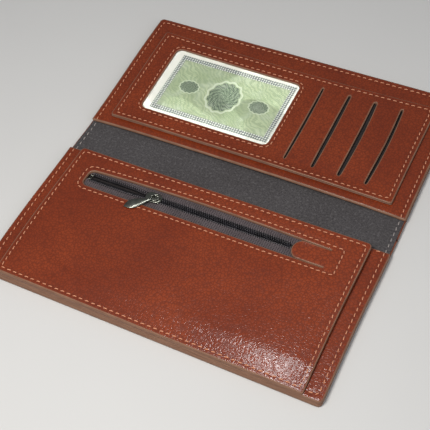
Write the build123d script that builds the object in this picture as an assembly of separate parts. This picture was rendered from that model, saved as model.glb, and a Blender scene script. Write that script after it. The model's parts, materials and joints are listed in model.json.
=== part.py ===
from build123d import *

import os

# Long wallet, opened flat and lying on its outer cover.
#
# Frame: millimetres, +X along the wallet's length, +Y from the zip half to the card half, +Z up.
# The origin is at the middle of the footprint, on the surface that the cover rests on.
#
# The leather layers are cut from flat hides, so most pieces are plates stacked between two heights.
# The spine is a strip that hinges on both halves, with its two fold lines on top of the lining, where
# a real cover bends without stretching its lining. Its width sets how far apart the closed halves lie.

# ---------------------------------------------------------------- driving dimensions
wallet_length = 190.0
open_depth = 203.0
corner_radius = 2.5

cover_thickness = 1.5
interlining_thickness = 0.8
lining_thickness = 0.4
panel_lining_thickness = 0.4
panel_thickness = 1.5

# Distances below are measured from the outer left corner of the zip half.
zip_panel_edge = 89.6
card_panel_free_edge = 112.6
fold_spacing = 13.8

# Zip pocket
pocket_left = 8.9
pocket_right = 180.4
pocket_corner_radius = 2.2
pocket_back_thickness = 0.3
pocket_depth = 1.4
pocket_filler_width = 5.0
opening_left = 21.9
opening_right = 166.5
opening_low = 66.6
opening_high_left = 76.9
opening_high_middle = 79.4
opening_high_right = 78.0
opening_corner_radius = 3.0

# Zip
zip_line = 73.5
tape_thickness = 0.4
tape_low = 62.6
tape_high = 84.4
tape_left = 17.0
tape_right = 171.0
coil_width = 1.3
coil_height = 1.4
coil_gap = 1.1
coil_edge_radius = 0.325
coil_left = 24.4
coil_right = 142.2
stop_length = 1.8
tab_tip = 143.2
tab_thickness = 1.2
tab_clearance = 0.2
tab_bulge = 4.5

# Zip slider and its pull
slider_centre = 62.6
slider_length = 9.6
slider_width = 6.6
slider_corner_radius = 2.6
slider_plate_thickness = 0.8
slider_base_thickness = 0.4
slider_clearance = 0.1
slider_post_length = 2.2
slider_post_width = 0.8
slider_flange_width = 1.2
bridge_offset = 1.8
bridge_span = 4.8
bridge_leg_length = 0.7
bridge_width = 0.7
bridge_opening = 1.3
bridge_bar_thickness = 0.8
pull_angle = 41.5
pull_eye_bar = 0.6
pull_eye_length = 2.8
pull_eye_width = 4.2
pull_eye_corner = 1.2
pull_plate_thickness = 0.8
pull_drop_thickness = 1.3
pull_length = 18.6
pull_neck_width = 1.8
pull_neck_length = 1.8
pull_drop_width = 5.6
pull_widest_from_tip = 4.5
pull_side_slope = 0.35
pull_clearance = 0.3

# Card panel
card_panel_left = 9.8
card_panel_right = 180.1
card_panel_low = 118.3
card_panel_high = 190.9
card_panel_corner_radius = 1.5
card_panel_thickness = 1.2
window_left = 23.2
window_right = 103.0
window_low = 130.4
window_high = 180.8
window_corner_radius = 3.5
slot_places = [115.8, 132.1, 147.4, 162.8]
slot_widths = [1.2, 2.0, 2.8, 1.6]
slot_low = 125.6
slot_high = 183.6
slot_backing_margin = 0.6
pocket_cloth_thickness = 0.1
pocket_cloth_reach = 8.0
pocket_cloth_inset = 1.0
reinforcement_thickness = 0.45
window_sheet_thickness = 0.15
window_sheet_margin = 5.0
insert_length = 85.6
insert_width = 54.0
insert_thickness = 0.3
insert_corner_radius = 3.2

# Stitching
seam_inset = 3.0
thread_width = 0.6
thread_height = 0.25
groove_width = 0.8
groove_depth = 0.35
thread_end_gap = 0.5
pocket_seam_inset = 2.3
card_seam_inset = 2.6
zip_seam_margin = 2.6
window_seam_margin = 2.2
window_seam_radius = 5.5

# ---------------------------------------------------------------- heights of the layers
cover_top = cover_thickness
interlining_top = cover_top + interlining_thickness
lining_top = interlining_top + lining_thickness
panel_lining_top = lining_top + panel_lining_thickness
base_top = panel_lining_top + panel_thickness
pocket_back_top = base_top + pocket_back_thickness
filler_top = pocket_back_top + pocket_depth
pocket_front_top = filler_top + panel_thickness
tape_bottom = filler_top - tape_thickness
coil_bottom = tape_bottom - tape_thickness
coil_top = coil_bottom + coil_height
cloth_top = base_top + len(slot_places) * pocket_cloth_thickness
reinforcement_top = cloth_top + reinforcement_thickness
card_panel_top = reinforcement_top + card_panel_thickness

# ---------------------------------------------------------------- places in the part's frame
half_length = wallet_length / 2
half_depth = open_depth / 2


def along(distance):
    """Place along the length of a distance measured from the left end."""
    return distance - half_length


def across(distance):
    """Place across the open wallet of a distance measured from the zip half's outer edge."""
    return distance - half_depth


spine_middle = across((zip_panel_edge + card_panel_free_edge) / 2)
zip_fold = spine_middle - fold_spacing / 2
card_fold = spine_middle + fold_spacing / 2
zip_row = across(zip_line)


# ---------------------------------------------------------------- shared shapes
def plate(outline, low, high):
    """A flat outline filled from one height to another."""
    return extrude(Pos(0, 0, low) * outline, amount=high - low)


def panel(left, right, low, high, radius=0.0):
    """Rectangle between four edges, with round corners if a radius is given."""
    centre = Pos((left + right) / 2, (low + high) / 2)
    if radius > 0:
        return centre * RectangleRounded(right - left, high - low, radius)
    return centre * Rectangle(right - left, high - low)


def half_panel(low, high, round_low):
    """Full-length rectangle with its two outer corners round: the low pair or the high pair."""
    outline = panel(-half_length, half_length, low, high)
    corner_pairs = outline.vertices().group_by(Axis.Y)
    pair = corner_pairs[0] if round_low else corner_pairs[-1]
    return fillet(pair, corner_radius)


def box_between(x_low, x_high, y_low, y_high, z_low, z_high):
    """Block between two corners."""
    return plate(panel(x_low, x_high, y_low, y_high), z_low, z_high)


def ring(outer, inner, low, high):
    """Closed band between two outlines."""
    return plate(outer - inner, low, high)


def thread_run_along(x_low, x_high, y, low, width=thread_width, height=thread_height):
    """Straight run of seam thread parallel to the length."""
    return box_between(x_low, x_high, y - width / 2, y + width / 2, low, low + height)


def thread_run_across(x, y_low, y_high, low, width=thread_width, height=thread_height):
    """Straight run of seam thread parallel to the depth."""
    return box_between(x - width / 2, x + width / 2, y_low, y_high, low, low + height)


def bowed_panel(margin):
    """The zip opening's outline, whose upper edge bows outwards, grown by a margin."""
    low_left = (along(opening_left) - margin, across(opening_low) - margin)
    low_right = (along(opening_right) + margin, across(opening_low) - margin)
    high_right = (along(opening_right) + margin, across(opening_high_right) + margin)
    middle = (along((opening_left + opening_right) / 2), across(opening_high_middle) + margin)
    high_left = (along(opening_left) - margin, across(opening_high_left) + margin)
    border = Line(low_left, low_right) + Line(low_right, high_right)
    border += ThreePointArc(high_right, middle, high_left) + Line(high_left, low_left)
    return make_face(border)


# ---------------------------------------------------------------- outer cover, interlining, lining
def cover_grooves(low, high):
    """The two grooves under the cover that hold the side seams' threads."""
    grooves = []
    for side in (-1, 1):
        place = side * (half_length - seam_inset)
        grooves.append(thread_run_across(place, low, high, 0, groove_width, groove_depth))
    return grooves


def zip_half_cover():
    """Outer leather of the zip half, with a stitch groove along its three outer sides."""
    leather = plate(half_panel(-half_depth, zip_fold, True), 0, cover_top)
    seam_line = -half_depth + seam_inset
    end_groove = thread_run_along(
        -half_length + seam_inset, half_length - seam_inset, seam_line, 0, groove_width, groove_depth
    )
    for groove in cover_grooves(seam_line - groove_width / 2, zip_fold) + [end_groove]:
        leather -= groove
    return leather


def card_half_cover():
    """Outer leather of the card half, with a stitch groove along its three outer sides."""
    leather = plate(half_panel(card_fold, half_depth, False), 0, cover_top)
    seam_line = half_depth - seam_inset
    end_groove = thread_run_along(
        -half_length + seam_inset, half_length - seam_inset, seam_line, 0, groove_width, groove_depth
    )
    for groove in cover_grooves(card_fold, seam_line + groove_width / 2) + [end_groove]:
        leather -= groove
    return leather


def spine_cover():
    """The spine's strip of the outer leather."""
    leather = plate(panel(-half_length, half_length, zip_fold, card_fold), 0, cover_top)
    for groove in cover_grooves(zip_fold, card_fold):
        leather -= groove
    return leather


def half_layer(low, high, round_low, bottom, top):
    """Full-size layer of one half between two heights."""
    return plate(half_panel(low, high, round_low), bottom, top)


def spine_layer(bottom, top):
    """The spine's strip of an inner layer."""
    return plate(panel(-half_length, half_length, zip_fold, card_fold), bottom, top)


def spine_thread():
    """The end seams' thread where they cross the spine: on the lining and in the cover's grooves."""
    runs = []
    start = zip_fold + thread_end_gap
    stop = card_fold - thread_end_gap
    for side in (-1, 1):
        place = side * (half_length - seam_inset)
        runs.append(thread_run_across(place, start, stop, lining_top))
        runs.append(thread_run_across(place, start, stop, groove_depth - thread_height))
    return Compound(children=runs)


# ---------------------------------------------------------------- zip pocket
def zip_pocket_outline(inset=0.0):
    """The zip pocket's outline, pulled in by an inset."""
    return panel(
        along(pocket_left) + inset,
        along(pocket_right) - inset,
        -half_depth + inset,
        across(zip_panel_edge) - inset,
        pocket_corner_radius,
    )


def zip_pocket_back():
    """Cloth that closes the zip pocket at the back."""
    return plate(zip_pocket_outline(), base_top, pocket_back_top)


def zip_pocket_filler():
    """Fibre frame under the edges of the pocket's front, which gives the pocket its depth."""
    inner = zip_pocket_outline(pocket_filler_width)
    return ring(zip_pocket_outline(), inner, pocket_back_top, filler_top)


def zip_opening():
    """The cut for the zip, with round left corners."""
    outline = bowed_panel(0)
    left_corners = outline.vertices().sort_by(Axis.X)[:2]
    return fillet(left_corners, opening_corner_radius)


def zip_pocket_front():
    """Leather front of the zip pocket with the cut for the zip."""
    return plate(zip_pocket_outline() - zip_opening(), filler_top, pocket_front_top)


def zip_tape(side):
    """One cloth tape of the zip, on the upper (+1) or lower (-1) side of the zip's line."""
    inner = zip_row + side * (coil_gap / 2 + coil_width)
    outer = across(tape_high) if side > 0 else across(tape_low)
    low, high = min(inner, outer), max(inner, outer)
    return plate(panel(along(tape_left), along(tape_right), low, high), tape_bottom, filler_top)


def zip_coil(side):
    """One row of the coil, as the bar that its turns fill."""
    inner = zip_row + side * coil_gap / 2
    outer = inner + side * coil_width
    low, high = min(inner, outer), max(inner, outer)
    bar = box_between(along(coil_left), along(coil_right), low, high, coil_bottom, coil_top)
    long_edges = bar.edges().filter_by(Axis.X).group_by(Axis.Z)[-1]
    return fillet(long_edges, coil_edge_radius)


def zip_top_stops():
    """The two metal stops beyond the left end of the coil."""
    stops = []
    for side in (-1, 1):
        inner = zip_row + side * coil_gap / 2
        outer = inner + side * coil_width
        stops.append(
            box_between(
                along(coil_left) - stop_length,
                along(coil_left),
                min(inner, outer),
                max(inner, outer),
                coil_bottom,
                coil_top - slider_clearance,
            )
        )
    return Compound(children=stops)


def zip_bottom_stop():
    """The metal staple that closes the zip under the end tab."""
    reach = coil_gap / 2 + coil_width
    return box_between(
        along(coil_right),
        along(coil_right) + stop_length,
        zip_row - reach,
        zip_row + reach,
        coil_bottom,
        filler_top,
    )


def zip_end_tab():
    """Leather tab over the right end of the zip, with a round nose."""
    low = across(opening_low) + tab_clearance
    high = across(opening_high_right) - tab_clearance
    right = along(opening_right) - tab_clearance
    shoulder = along(tab_tip) + tab_bulge
    border = Line((shoulder, low), (right, low)) + Line((right, low), (right, high))
    border += Line((right, high), (shoulder, high))
    border += ThreePointArc((shoulder, high), (along(tab_tip), (low + high) / 2), (shoulder, low))
    return plate(make_face(border), filler_top, filler_top + tab_thickness)


# ---------------------------------------------------------------- zip slider and pull
slider_x = along(slider_centre)
slider_top_plate = coil_top + slider_clearance
slider_top = slider_top_plate + slider_plate_thickness
slider_base_top = coil_bottom - slider_clearance
slider_base = slider_base_top - slider_base_thickness
bridge_bar_bottom = slider_top + bridge_opening
bridge_x = slider_x + bridge_offset
pull_axis_height = pocket_front_top + pull_clearance + pull_plate_thickness / 2


def slider_flanges():
    """The rims along both sides of the two plates, with a slit between them for the tape."""
    blocks = []
    for side in (-1, 1):
        outer = zip_row + side * slider_width / 2
        inner = outer - side * slider_flange_width
        low, high = min(inner, outer), max(inner, outer)
        reach = slider_length / 2 - slider_corner_radius
        for bottom, top in (
            (filler_top + slider_clearance, slider_top_plate),
            (slider_base_top, tape_bottom - slider_clearance),
        ):
            blocks.append(box_between(slider_x - reach, slider_x + reach, low, high, bottom, top))
    return blocks


def slider_bridge():
    """The arch on top of the slider that holds the pull's eye."""
    arch = None
    for end in (-1, 1):
        leg_x = bridge_x + end * bridge_span / 2
        leg = box_between(
            leg_x - bridge_leg_length / 2,
            leg_x + bridge_leg_length / 2,
            zip_row - bridge_width / 2,
            zip_row + bridge_width / 2,
            slider_top,
            bridge_bar_bottom,
        )
        arch = leg if arch is None else arch + leg
    bar = box_between(
        bridge_x - bridge_span / 2 - bridge_leg_length / 2,
        bridge_x + bridge_span / 2 + bridge_leg_length / 2,
        zip_row - bridge_width / 2,
        zip_row + bridge_width / 2,
        bridge_bar_bottom,
        bridge_bar_bottom + bridge_bar_thickness,
    )
    return arch + bar


def zip_slider():
    """Slider casting: two plates joined by the post, side rims and the bridge for the pull."""
    outline = Pos(slider_x, zip_row) * RectangleRounded(slider_length, slider_width, slider_corner_radius)
    body = plate(outline, slider_top_plate, slider_top)
    body += plate(outline, slider_base, slider_base_top)
    post_end = slider_x - slider_length / 2 + slider_corner_radius
    body += box_between(
        post_end,
        post_end + slider_post_length,
        zip_row - slider_post_width / 2,
        zip_row + slider_post_width / 2,
        slider_base_top,
        slider_top_plate,
    )
    for block in slider_flanges():
        body += block
    return body + slider_bridge()


def zip_pull():
    """Drop-shaped pull. Its eye goes round one leg of the bridge; its drop lies on the leather."""
    eye_half_width = pull_eye_width / 2 + pull_eye_bar
    eye_end = pull_eye_bar / 2 + pull_eye_length
    eye_outline = panel(
        -pull_eye_bar / 2,
        eye_end + pull_eye_bar,
        -eye_half_width,
        eye_half_width,
        pull_eye_corner + pull_eye_bar,
    )
    eye_hole = panel(pull_eye_bar / 2, eye_end, -pull_eye_width / 2, pull_eye_width / 2, pull_eye_corner)
    eye = extrude(eye_outline - eye_hole, amount=pull_plate_thickness)
    neck_half_width = pull_neck_width / 2
    neck_start = eye_end + pull_eye_bar / 2
    neck_outline = panel(neck_start, eye_end + pull_neck_length, -neck_half_width, neck_half_width)
    neck = extrude(neck_outline, amount=pull_plate_thickness)
    neck_end = (eye_end + pull_neck_length, neck_half_width)
    shoulder = (pull_length - pull_widest_from_tip, pull_drop_width / 2)
    tip = (pull_length, 0)
    upper_side = Spline([neck_end, shoulder, tip], tangents=[(1, pull_side_slope), (0, -1)])
    lower_side = mirror(upper_side, about=Plane.XZ)
    border = upper_side + lower_side + Line(neck_end, (neck_end[0], -neck_end[1]))
    drop = extrude(make_face(border), amount=pull_drop_thickness)
    flat_pull = Pos(0, 0, -pull_plate_thickness / 2) * (eye + neck + drop)
    turned = Rot(0, 0, 180 + pull_angle) * flat_pull
    return Pos(bridge_x, zip_row, pull_axis_height) * turned


# ---------------------------------------------------------------- card panel
def slot_cuts(margin=0.0):
    """The four card slots' outlines, each grown by a margin."""
    cuts = []
    for place, width in zip(slot_places, slot_widths):
        height = slot_high - slot_low + 2 * margin
        centre = Pos(along(place), across((slot_low + slot_high) / 2))
        cuts.append(centre * SlotOverall(height, width + 2 * margin, rotation=90))
    return cuts


def card_panel_outline():
    """The card panel's outline."""
    return panel(
        along(card_panel_left),
        along(card_panel_right),
        across(card_panel_low),
        across(card_panel_high),
        card_panel_corner_radius,
    )


def window_outline(margin=0.0, radius=window_corner_radius):
    """The window's outline, grown by a margin."""
    return panel(
        along(window_left) - margin,
        along(window_right) + margin,
        across(window_low) - margin,
        across(window_high) + margin,
        radius,
    )


def card_panel():
    """Leather front of the card pockets with the window and four slots."""
    outline = card_panel_outline() - window_outline()
    for cut in slot_cuts():
        outline -= cut
    return plate(outline, reinforcement_top, card_panel_top)


def card_panel_reinforcement():
    """Thin fibre sheet behind the card panel, cut out behind the window and the slots."""
    outline = card_panel_outline() - window_outline(window_sheet_margin + thread_width)
    for cut in slot_cuts(slot_backing_margin):
        outline -= cut
    return plate(outline, cloth_top, reinforcement_top)


def card_pocket_cloth(number):
    """Pocket cloth behind one slot. The first slot's cloth lies on top, the last one's at the bottom."""
    level = base_top + (len(slot_places) - number) * pocket_cloth_thickness
    last = number == len(slot_places)
    right = card_panel_right if last else slot_places[number - 1] + pocket_cloth_reach
    outline = panel(
        along(card_panel_left) + pocket_cloth_inset,
        along(right) - pocket_cloth_inset,
        across(card_panel_low) + pocket_cloth_inset,
        across(card_panel_high) - pocket_cloth_inset,
    )
    return plate(outline, level, level + pocket_cloth_thickness)


def window_sheet():
    """Clear sheet glued behind the window."""
    outline = window_outline(window_sheet_margin)
    return plate(outline, reinforcement_top - window_sheet_thickness, reinforcement_top)


def insert_card():
    """Card of the standard size that shows through the window."""
    centre = Pos(
        along((window_left + window_right) / 2),
        across((window_low + window_high) / 2),
    )
    outline = centre * RectangleRounded(insert_length, insert_width, insert_corner_radius)
    return plate(outline, cloth_top, cloth_top + insert_thickness)


# ---------------------------------------------------------------- seam threads of the halves
def zip_half_edge_thread():
    """Edge seam of the zip half: on both side strips, and in the cover's groove."""
    side_line = half_length - seam_inset
    end_line = -half_depth + seam_inset
    spine_end = across(zip_panel_edge) - thread_end_gap
    left_strip = thread_run_across(-side_line, end_line, spine_end, base_top)
    left_strip += thread_run_along(-side_line, along(pocket_left) - thread_end_gap, end_line, base_top)
    right_strip = thread_run_across(side_line, end_line, spine_end, base_top)
    right_strip += thread_run_along(along(pocket_right) + thread_end_gap, side_line, end_line, base_top)
    groove_level = groove_depth - thread_height
    fold_end = zip_fold - thread_end_gap
    under = thread_run_along(-side_line, side_line, end_line, groove_level)
    for side in (-1, 1):
        under += thread_run_across(side * side_line, end_line, fold_end, groove_level)
    return Compound(children=[left_strip, right_strip, under])


def card_half_edge_thread():
    """Edge seam of the card half: on the panel's margin, and in the cover's groove."""
    side_line = half_length - seam_inset
    end_line = half_depth - seam_inset
    spine_end = across(card_panel_free_edge) + thread_end_gap
    groove_level = groove_depth - thread_height
    fold_end = card_fold + thread_end_gap
    runs = []
    for level, start in ((base_top, spine_end), (groove_level, fold_end)):
        run = thread_run_along(-side_line, side_line, end_line, level)
        for side in (-1, 1):
            run += thread_run_across(side * side_line, start, end_line, level)
        runs.append(run)
    return Compound(children=runs)


def zip_pocket_thread():
    """Seam round the edge of the zip pocket's front."""
    outer = zip_pocket_outline(pocket_seam_inset - thread_width / 2)
    inner = zip_pocket_outline(pocket_seam_inset + thread_width / 2)
    return ring(outer, inner, pocket_front_top, pocket_front_top + thread_height)


def zip_opening_thread():
    """Seam round the zip opening."""
    outer = bowed_panel(zip_seam_margin + thread_width / 2)
    inner = bowed_panel(zip_seam_margin - thread_width / 2)
    return ring(outer, inner, pocket_front_top, pocket_front_top + thread_height)


def card_panel_thread():
    """Seam round the edge of the card panel."""
    bands = []
    for inset in (card_seam_inset - thread_width / 2, card_seam_inset + thread_width / 2):
        bands.append(
            panel(
                along(card_panel_left) + inset,
                along(card_panel_right) - inset,
                across(card_panel_low) + inset,
                across(card_panel_high) - inset,
            )
        )
    return ring(bands[0], bands[1], card_panel_top, card_panel_top + thread_height)


def window_thread():
    """Seam round the window, with round corners."""
    outer = window_outline(window_seam_margin + thread_width / 2, window_seam_radius)
    inner = window_outline(window_seam_margin - thread_width / 2, window_seam_radius - thread_width)
    return ring(outer, inner, card_panel_top, card_panel_top + thread_height)


# ---------------------------------------------------------------- the whole set
def zip_half_pieces():
    """Every piece that stays with the zip half."""
    low, fold = -half_depth, zip_fold
    spine_edge = across(zip_panel_edge)
    return {
        "zip_half_cover": zip_half_cover(),
        "zip_half_interlining": half_layer(low, fold, True, cover_top, interlining_top),
        "zip_half_lining": half_layer(low, fold, True, interlining_top, lining_top),
        "zip_half_panel_lining": half_layer(low, spine_edge, True, lining_top, panel_lining_top),
        "zip_half_base_panel": half_layer(low, spine_edge, True, panel_lining_top, base_top),
        "zip_pocket_back": zip_pocket_back(),
        "zip_pocket_filler": zip_pocket_filler(),
        "zip_pocket_front": zip_pocket_front(),
        "zip_tape_upper": zip_tape(1),
        "zip_tape_lower": zip_tape(-1),
        "zip_coil_upper": zip_coil(1),
        "zip_coil_lower": zip_coil(-1),
        "zip_top_stops": zip_top_stops(),
        "zip_bottom_stop": zip_bottom_stop(),
        "zip_end_tab": zip_end_tab(),
        "zip_half_edge_thread": zip_half_edge_thread(),
        "zip_pocket_thread": zip_pocket_thread(),
        "zip_opening_thread": zip_opening_thread(),
    }


def spine_pieces():
    """Every piece of the strip between the two fold lines."""
    return {
        "spine_cover": spine_cover(),
        "spine_interlining": spine_layer(cover_top, interlining_top),
        "spine_lining": spine_layer(interlining_top, lining_top),
        "spine_thread": spine_thread(),
    }


def card_half_pieces():
    """Every piece that stays with the card half."""
    fold, high = card_fold, half_depth
    free_edge = across(card_panel_free_edge)
    pieces = {
        "card_half_cover": card_half_cover(),
        "card_half_interlining": half_layer(fold, high, False, cover_top, interlining_top),
        "card_half_lining": half_layer(fold, high, False, interlining_top, lining_top),
        "card_half_panel_lining": half_layer(free_edge, high, False, lining_top, panel_lining_top),
        "card_half_base_panel": half_layer(free_edge, high, False, panel_lining_top, base_top),
        "card_panel_reinforcement": card_panel_reinforcement(),
        "card_panel": card_panel(),
        "window_sheet": window_sheet(),
        "insert_card": insert_card(),
        "card_half_edge_thread": card_half_edge_thread(),
        "card_panel_thread": card_panel_thread(),
        "window_thread": window_thread(),
    }
    for number in range(1, len(slot_places) + 1):
        pieces[f"card_pocket_cloth_{number}"] = card_pocket_cloth(number)
    return pieces


def moving_zip_pieces():
    """The slider, and the pull that hangs on it."""
    return {"zip_slider": zip_slider(), "zip_pull": zip_pull()}


os.makedirs("parts", exist_ok=True)
for group in (zip_half_pieces(), spine_pieces(), card_half_pieces(), moving_zip_pieces()):
    for name, shape in group.items():
        export_step(shape, f"parts/{name}.step")

print("fold lines (y, y, z):", round(zip_fold, 3), round(card_fold, 3), round(lining_top, 3))
print("slider place (x, y):", round(slider_x, 3), round(zip_row, 3))
print("pull axis place (x, y, z):", round(bridge_x, 3), round(zip_row, 3), round(pull_axis_height, 3))
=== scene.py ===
import bpy
import json
import math
import numpy as np
from collections import namedtuple
from mathutils import Matrix, Vector
from mathutils.geometry import delaunay_2d_cdt


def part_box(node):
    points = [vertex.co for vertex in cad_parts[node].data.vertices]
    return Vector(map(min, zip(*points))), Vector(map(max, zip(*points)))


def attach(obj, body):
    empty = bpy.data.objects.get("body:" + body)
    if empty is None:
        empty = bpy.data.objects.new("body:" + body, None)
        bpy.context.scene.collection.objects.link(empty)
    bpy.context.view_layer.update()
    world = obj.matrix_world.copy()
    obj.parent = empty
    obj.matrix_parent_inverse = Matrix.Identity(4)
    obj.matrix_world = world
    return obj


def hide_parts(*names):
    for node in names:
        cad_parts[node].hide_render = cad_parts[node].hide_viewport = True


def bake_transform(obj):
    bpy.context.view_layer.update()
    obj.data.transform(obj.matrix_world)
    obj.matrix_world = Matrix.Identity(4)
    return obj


# Looks of an open long wallet: leather sheets with painted edges, sewn seams, a coil zip with its
# slider, a clear window over a printed card, and a folding spine.
#
# Everything is in metres, in the CAD frame. A piece's place comes from the boxes of the CAD nodes
# that it stands for, and the named sizes are those of the finer detail.

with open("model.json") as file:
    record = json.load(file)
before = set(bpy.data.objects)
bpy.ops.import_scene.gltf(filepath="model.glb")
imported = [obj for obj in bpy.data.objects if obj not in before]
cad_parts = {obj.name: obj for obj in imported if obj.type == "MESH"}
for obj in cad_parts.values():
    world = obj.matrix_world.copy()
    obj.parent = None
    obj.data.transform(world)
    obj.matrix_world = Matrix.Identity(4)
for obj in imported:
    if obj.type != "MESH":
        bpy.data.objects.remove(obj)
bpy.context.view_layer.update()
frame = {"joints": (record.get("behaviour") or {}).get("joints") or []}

MM = 0.001

# ---- sizes of the sheets
grid_step = 1.5 * MM            # between the points inside a sheet
coarse_step = 4.0 * MM          # the same in a sheet that is hidden
cloth_step = 3.0 * MM           # the same in a flat sheet seen through an opening
pane_step = 2.0 * MM
edge_step = 1.0 * MM            # between the points along a sheet's edge
hole_step = 0.8 * MM
arc_step = 0.5 * MM
rim_paint_and_highlight = 0.16               # how much of the edge paint reaches the rim of a face: partly real paint, partly a painted highlight along the rim
corner_radius = 2.5 * MM
inner_corner_radius = 0.5 * MM  # corners of the zip half's base panel beside the spine
free_corner_radius = 0.6 * MM   # the same on the card half
panel_corner_radius = 1.5 * MM
pocket_radii = [0.8 * MM, 0.8 * MM, 2.2 * MM, 2.2 * MM]     # from the lower left, anticlockwise
cloth_corner_radius = 1.0 * MM
lining_inset = 0.7 * MM
core_inset = 0.3 * MM           # of the pocket's stiffening, inside the leather
core_front_inset = 0.05 * MM
core_hole_inset = 1.0 * MM      # of the hole in the stiffening, inside the tapes' outer edges
cloth_gap = 0.05 * MM
cloth_thickness = 0.25 * MM
backing_gap = 0.02 * MM

# ---- sizes of the seams
stitch_pitch = 3.55 * MM
small_stitch_pitch = 3.3 * MM
stitch_length = 2.5 * MM
stitch_length_range = (0.93, 1.05)
stitch_width = 0.52 * MM
stitch_slant = math.radians(7)
stitch_wander = 0.05 * MM       # of a stitch along its seam
stitch_turn = 0.035             # of a stitch from the usual slant
stitch_rise = 0.10 * MM         # of a stitch's middle above the leather
stitch_dive = 0.50 * MM         # of its ends into their holes
stitch_sides = 8
stitch_sections = 7
thread_half_width = 0.3 * MM
seam_radius = 0.8 * MM
seam_dip_depth = 0.16 * MM
seam_dip_width = 0.75 * MM
outer_dip_depth = 0.3 * MM
outer_stitch_sink = 0.35 * MM
seam_point_step = 2.5 * MM
side_seam_start = 1.0 * MM      # of the front seam, beside the pocket's sides
bar_inset = 0.8 * MM            # of the bar of stitches beside the spine, from its two ends
bar_from_edge = 0.9 * MM

# ---- sizes of the zip's opening
opening_margin = 2.6 * MM       # from the zip's opening to its seam
opening_corner_radius = 3.0 * MM
opening_seam_radius = opening_corner_radius + 0.4 * opening_margin
opening_drop_left = 2.5 * MM    # how far the bowed upper side falls away at its two ends
opening_drop_right = 1.4 * MM
opening_corner_cut = 0.4 * MM   # of the seam's corners at the right end
opening_top_cut = 0.6 * MM
tongue_end = 20.0 * MM          # length of the slits beside the tongue
tongue_slit = 0.30 * MM
tongue_slit_end = 0.04 * MM
tongue_nose = 5.0 * MM
tongue_sink = 0.35 * MM

# ---- sizes of the window and slots
window_margin = 2.2 * MM        # from the window's edge to its seam
window_radius = 3.5 * MM
window_seam_radius = 5.5 * MM
pane_overlap_x = 4.0 * MM       # of the clear sheet, past the window's edge
pane_overlap_y = 3.0 * MM
pane_radius = 2.0 * MM
card_radius = 3.2 * MM
print_shift = 1.6 * MM          # how far the print lies off the card's middle
cloth_past_slot = 7.0 * MM
last_slot_spacing = 15.4 * MM
slot_end_margin = 7.3 * MM      # from the panel's edge to the slots' ends
slot_end_taper = 0.014          # share of a slot's length over which it closes
backing_past_slot = 1.0 * MM

# For each card slot: half its width, its sideways bow, and how far its widest part lies to one end.
slot_shapes = [
    (0.55 * MM, 0.3 * MM, 1.0),
    (0.90 * MM, 0.2 * MM, 0.9),
    (1.15 * MM, 0.6 * MM, 0.9),
    (0.75 * MM, 1.0 * MM, 0.6),
]

# ---- sizes of the zip
coil_pitch = 1.25 * MM
coil_wire = 0.31 * MM
coil_reach = 1.15 * MM          # half the width of a row's turns
coil_rise = 0.42 * MM
coil_slant = 0.12 * MM
coil_head = 0.35                # how much thicker the wire is at a turn's head, as a share
coil_head_reach = 0.6           # of the thick part, in radians round the turn
row_gap = 0.35 * MM             # from the zip's middle to the turns' heads where the rows are open
row_mesh = 0.5 * MM             # how far the heads move in where the rows are shut
parting = 0.6 * MM
parting_length = 12.0 * MM
cord_place = 1.35 * MM          # of the cord inside the turns, from the zip's middle
cord_radius = 0.28 * MM
cord_overhang = 1.0 * MM
cord_step = 1.5 * MM
sewing_place = 1.95 * MM
sewing_half = 0.35 * MM
sewing_lean = 0.18 * MM
sewing_height = 0.55 * MM
sewing_arch = 0.25 * MM
sewing_radius = 0.17 * MM
tape_start = 0.95 * MM          # of the tape, from the zip's middle
tape_step = 0.7 * MM
tape_overhang = 0.3 * MM
tape_sink = 0.02 * MM
tape_wave = (0.07 * MM, 5.0)    # size and phase of the tapes' waves
tape_bead_place = 0.05          # of the bead, and its half width, as shares of the tape's width
tape_bead = 0.14 * MM
tape_rib = 0.025 * MM
tape_rib_pitch = 0.62 * MM
stop_wire = 0.32 * MM
stop_half_width = 0.55 * MM
stop_end_inset = 0.35 * MM      # of the first and last wire, from the stop's ends
staple_side_inset = 0.4 * MM    # of the staple at the bottom, from its box's sides
stop_place = 0.34               # of a row's stop, from the zip's middle, as a share of both stops' width
stop_rise = 0.32                # half the wire's arch as a share of the stop's height
plate_thickness = 0.85 * MM
plate_dome = 0.25 * MM
plate_below_axis = 0.9 * MM
lower_plate_thickness = 0.4 * MM
lower_plate_inset = 0.2 * MM
flange_radius = 0.55 * MM
flange_start = 1.6 * MM         # from the slider's left end
flange_stop = 0.8 * MM          # from its right end
flange_inset = 0.65 * MM
flange_taper = 0.5 * MM         # how much nearer the flanges come at the closed end
taper_start = 3.0 * MM
taper_stop = 2.0 * MM
bridge_reach = 2.2 * MM
bridge_radius = 0.36 * MM
bridge_top_gap = 0.35 * MM      # of the arch's middle line, under the slider's top
pull_neck = 2.9 * MM            # from the flip axis to the pull's neck, and to its tip
pull_tip = 18.4 * MM
pull_neck_half = 0.8 * MM
pull_drop_half = 2.6 * MM
pull_half_thickness = 0.42 * MM
pull_crown = 0.30 * MM
pull_sink = 0.05 * MM
eye_middle = 0.85 * MM
eye_half_length = 2.45 * MM
eye_half_width = 1.85 * MM
eye_wire = 0.38 * MM

random = np.random.default_rng(7)


# ---- boxes of the CAD nodes
class Box(namedtuple("Box", "x0 x1 y0 y1 z0 z1")):
    """A box along the axes, with the size of its plan."""

    @property
    def size(self):
        return (self.x1 - self.x0, self.y1 - self.y0)

    def grown(self, x, y=None):
        """The box made larger on its sides, by x at each end and y at the front and back."""
        y = x if y is None else y
        return self._replace(x0=self.x0 - x, x1=self.x1 + x, y0=self.y0 - y, y1=self.y1 + y)


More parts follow.
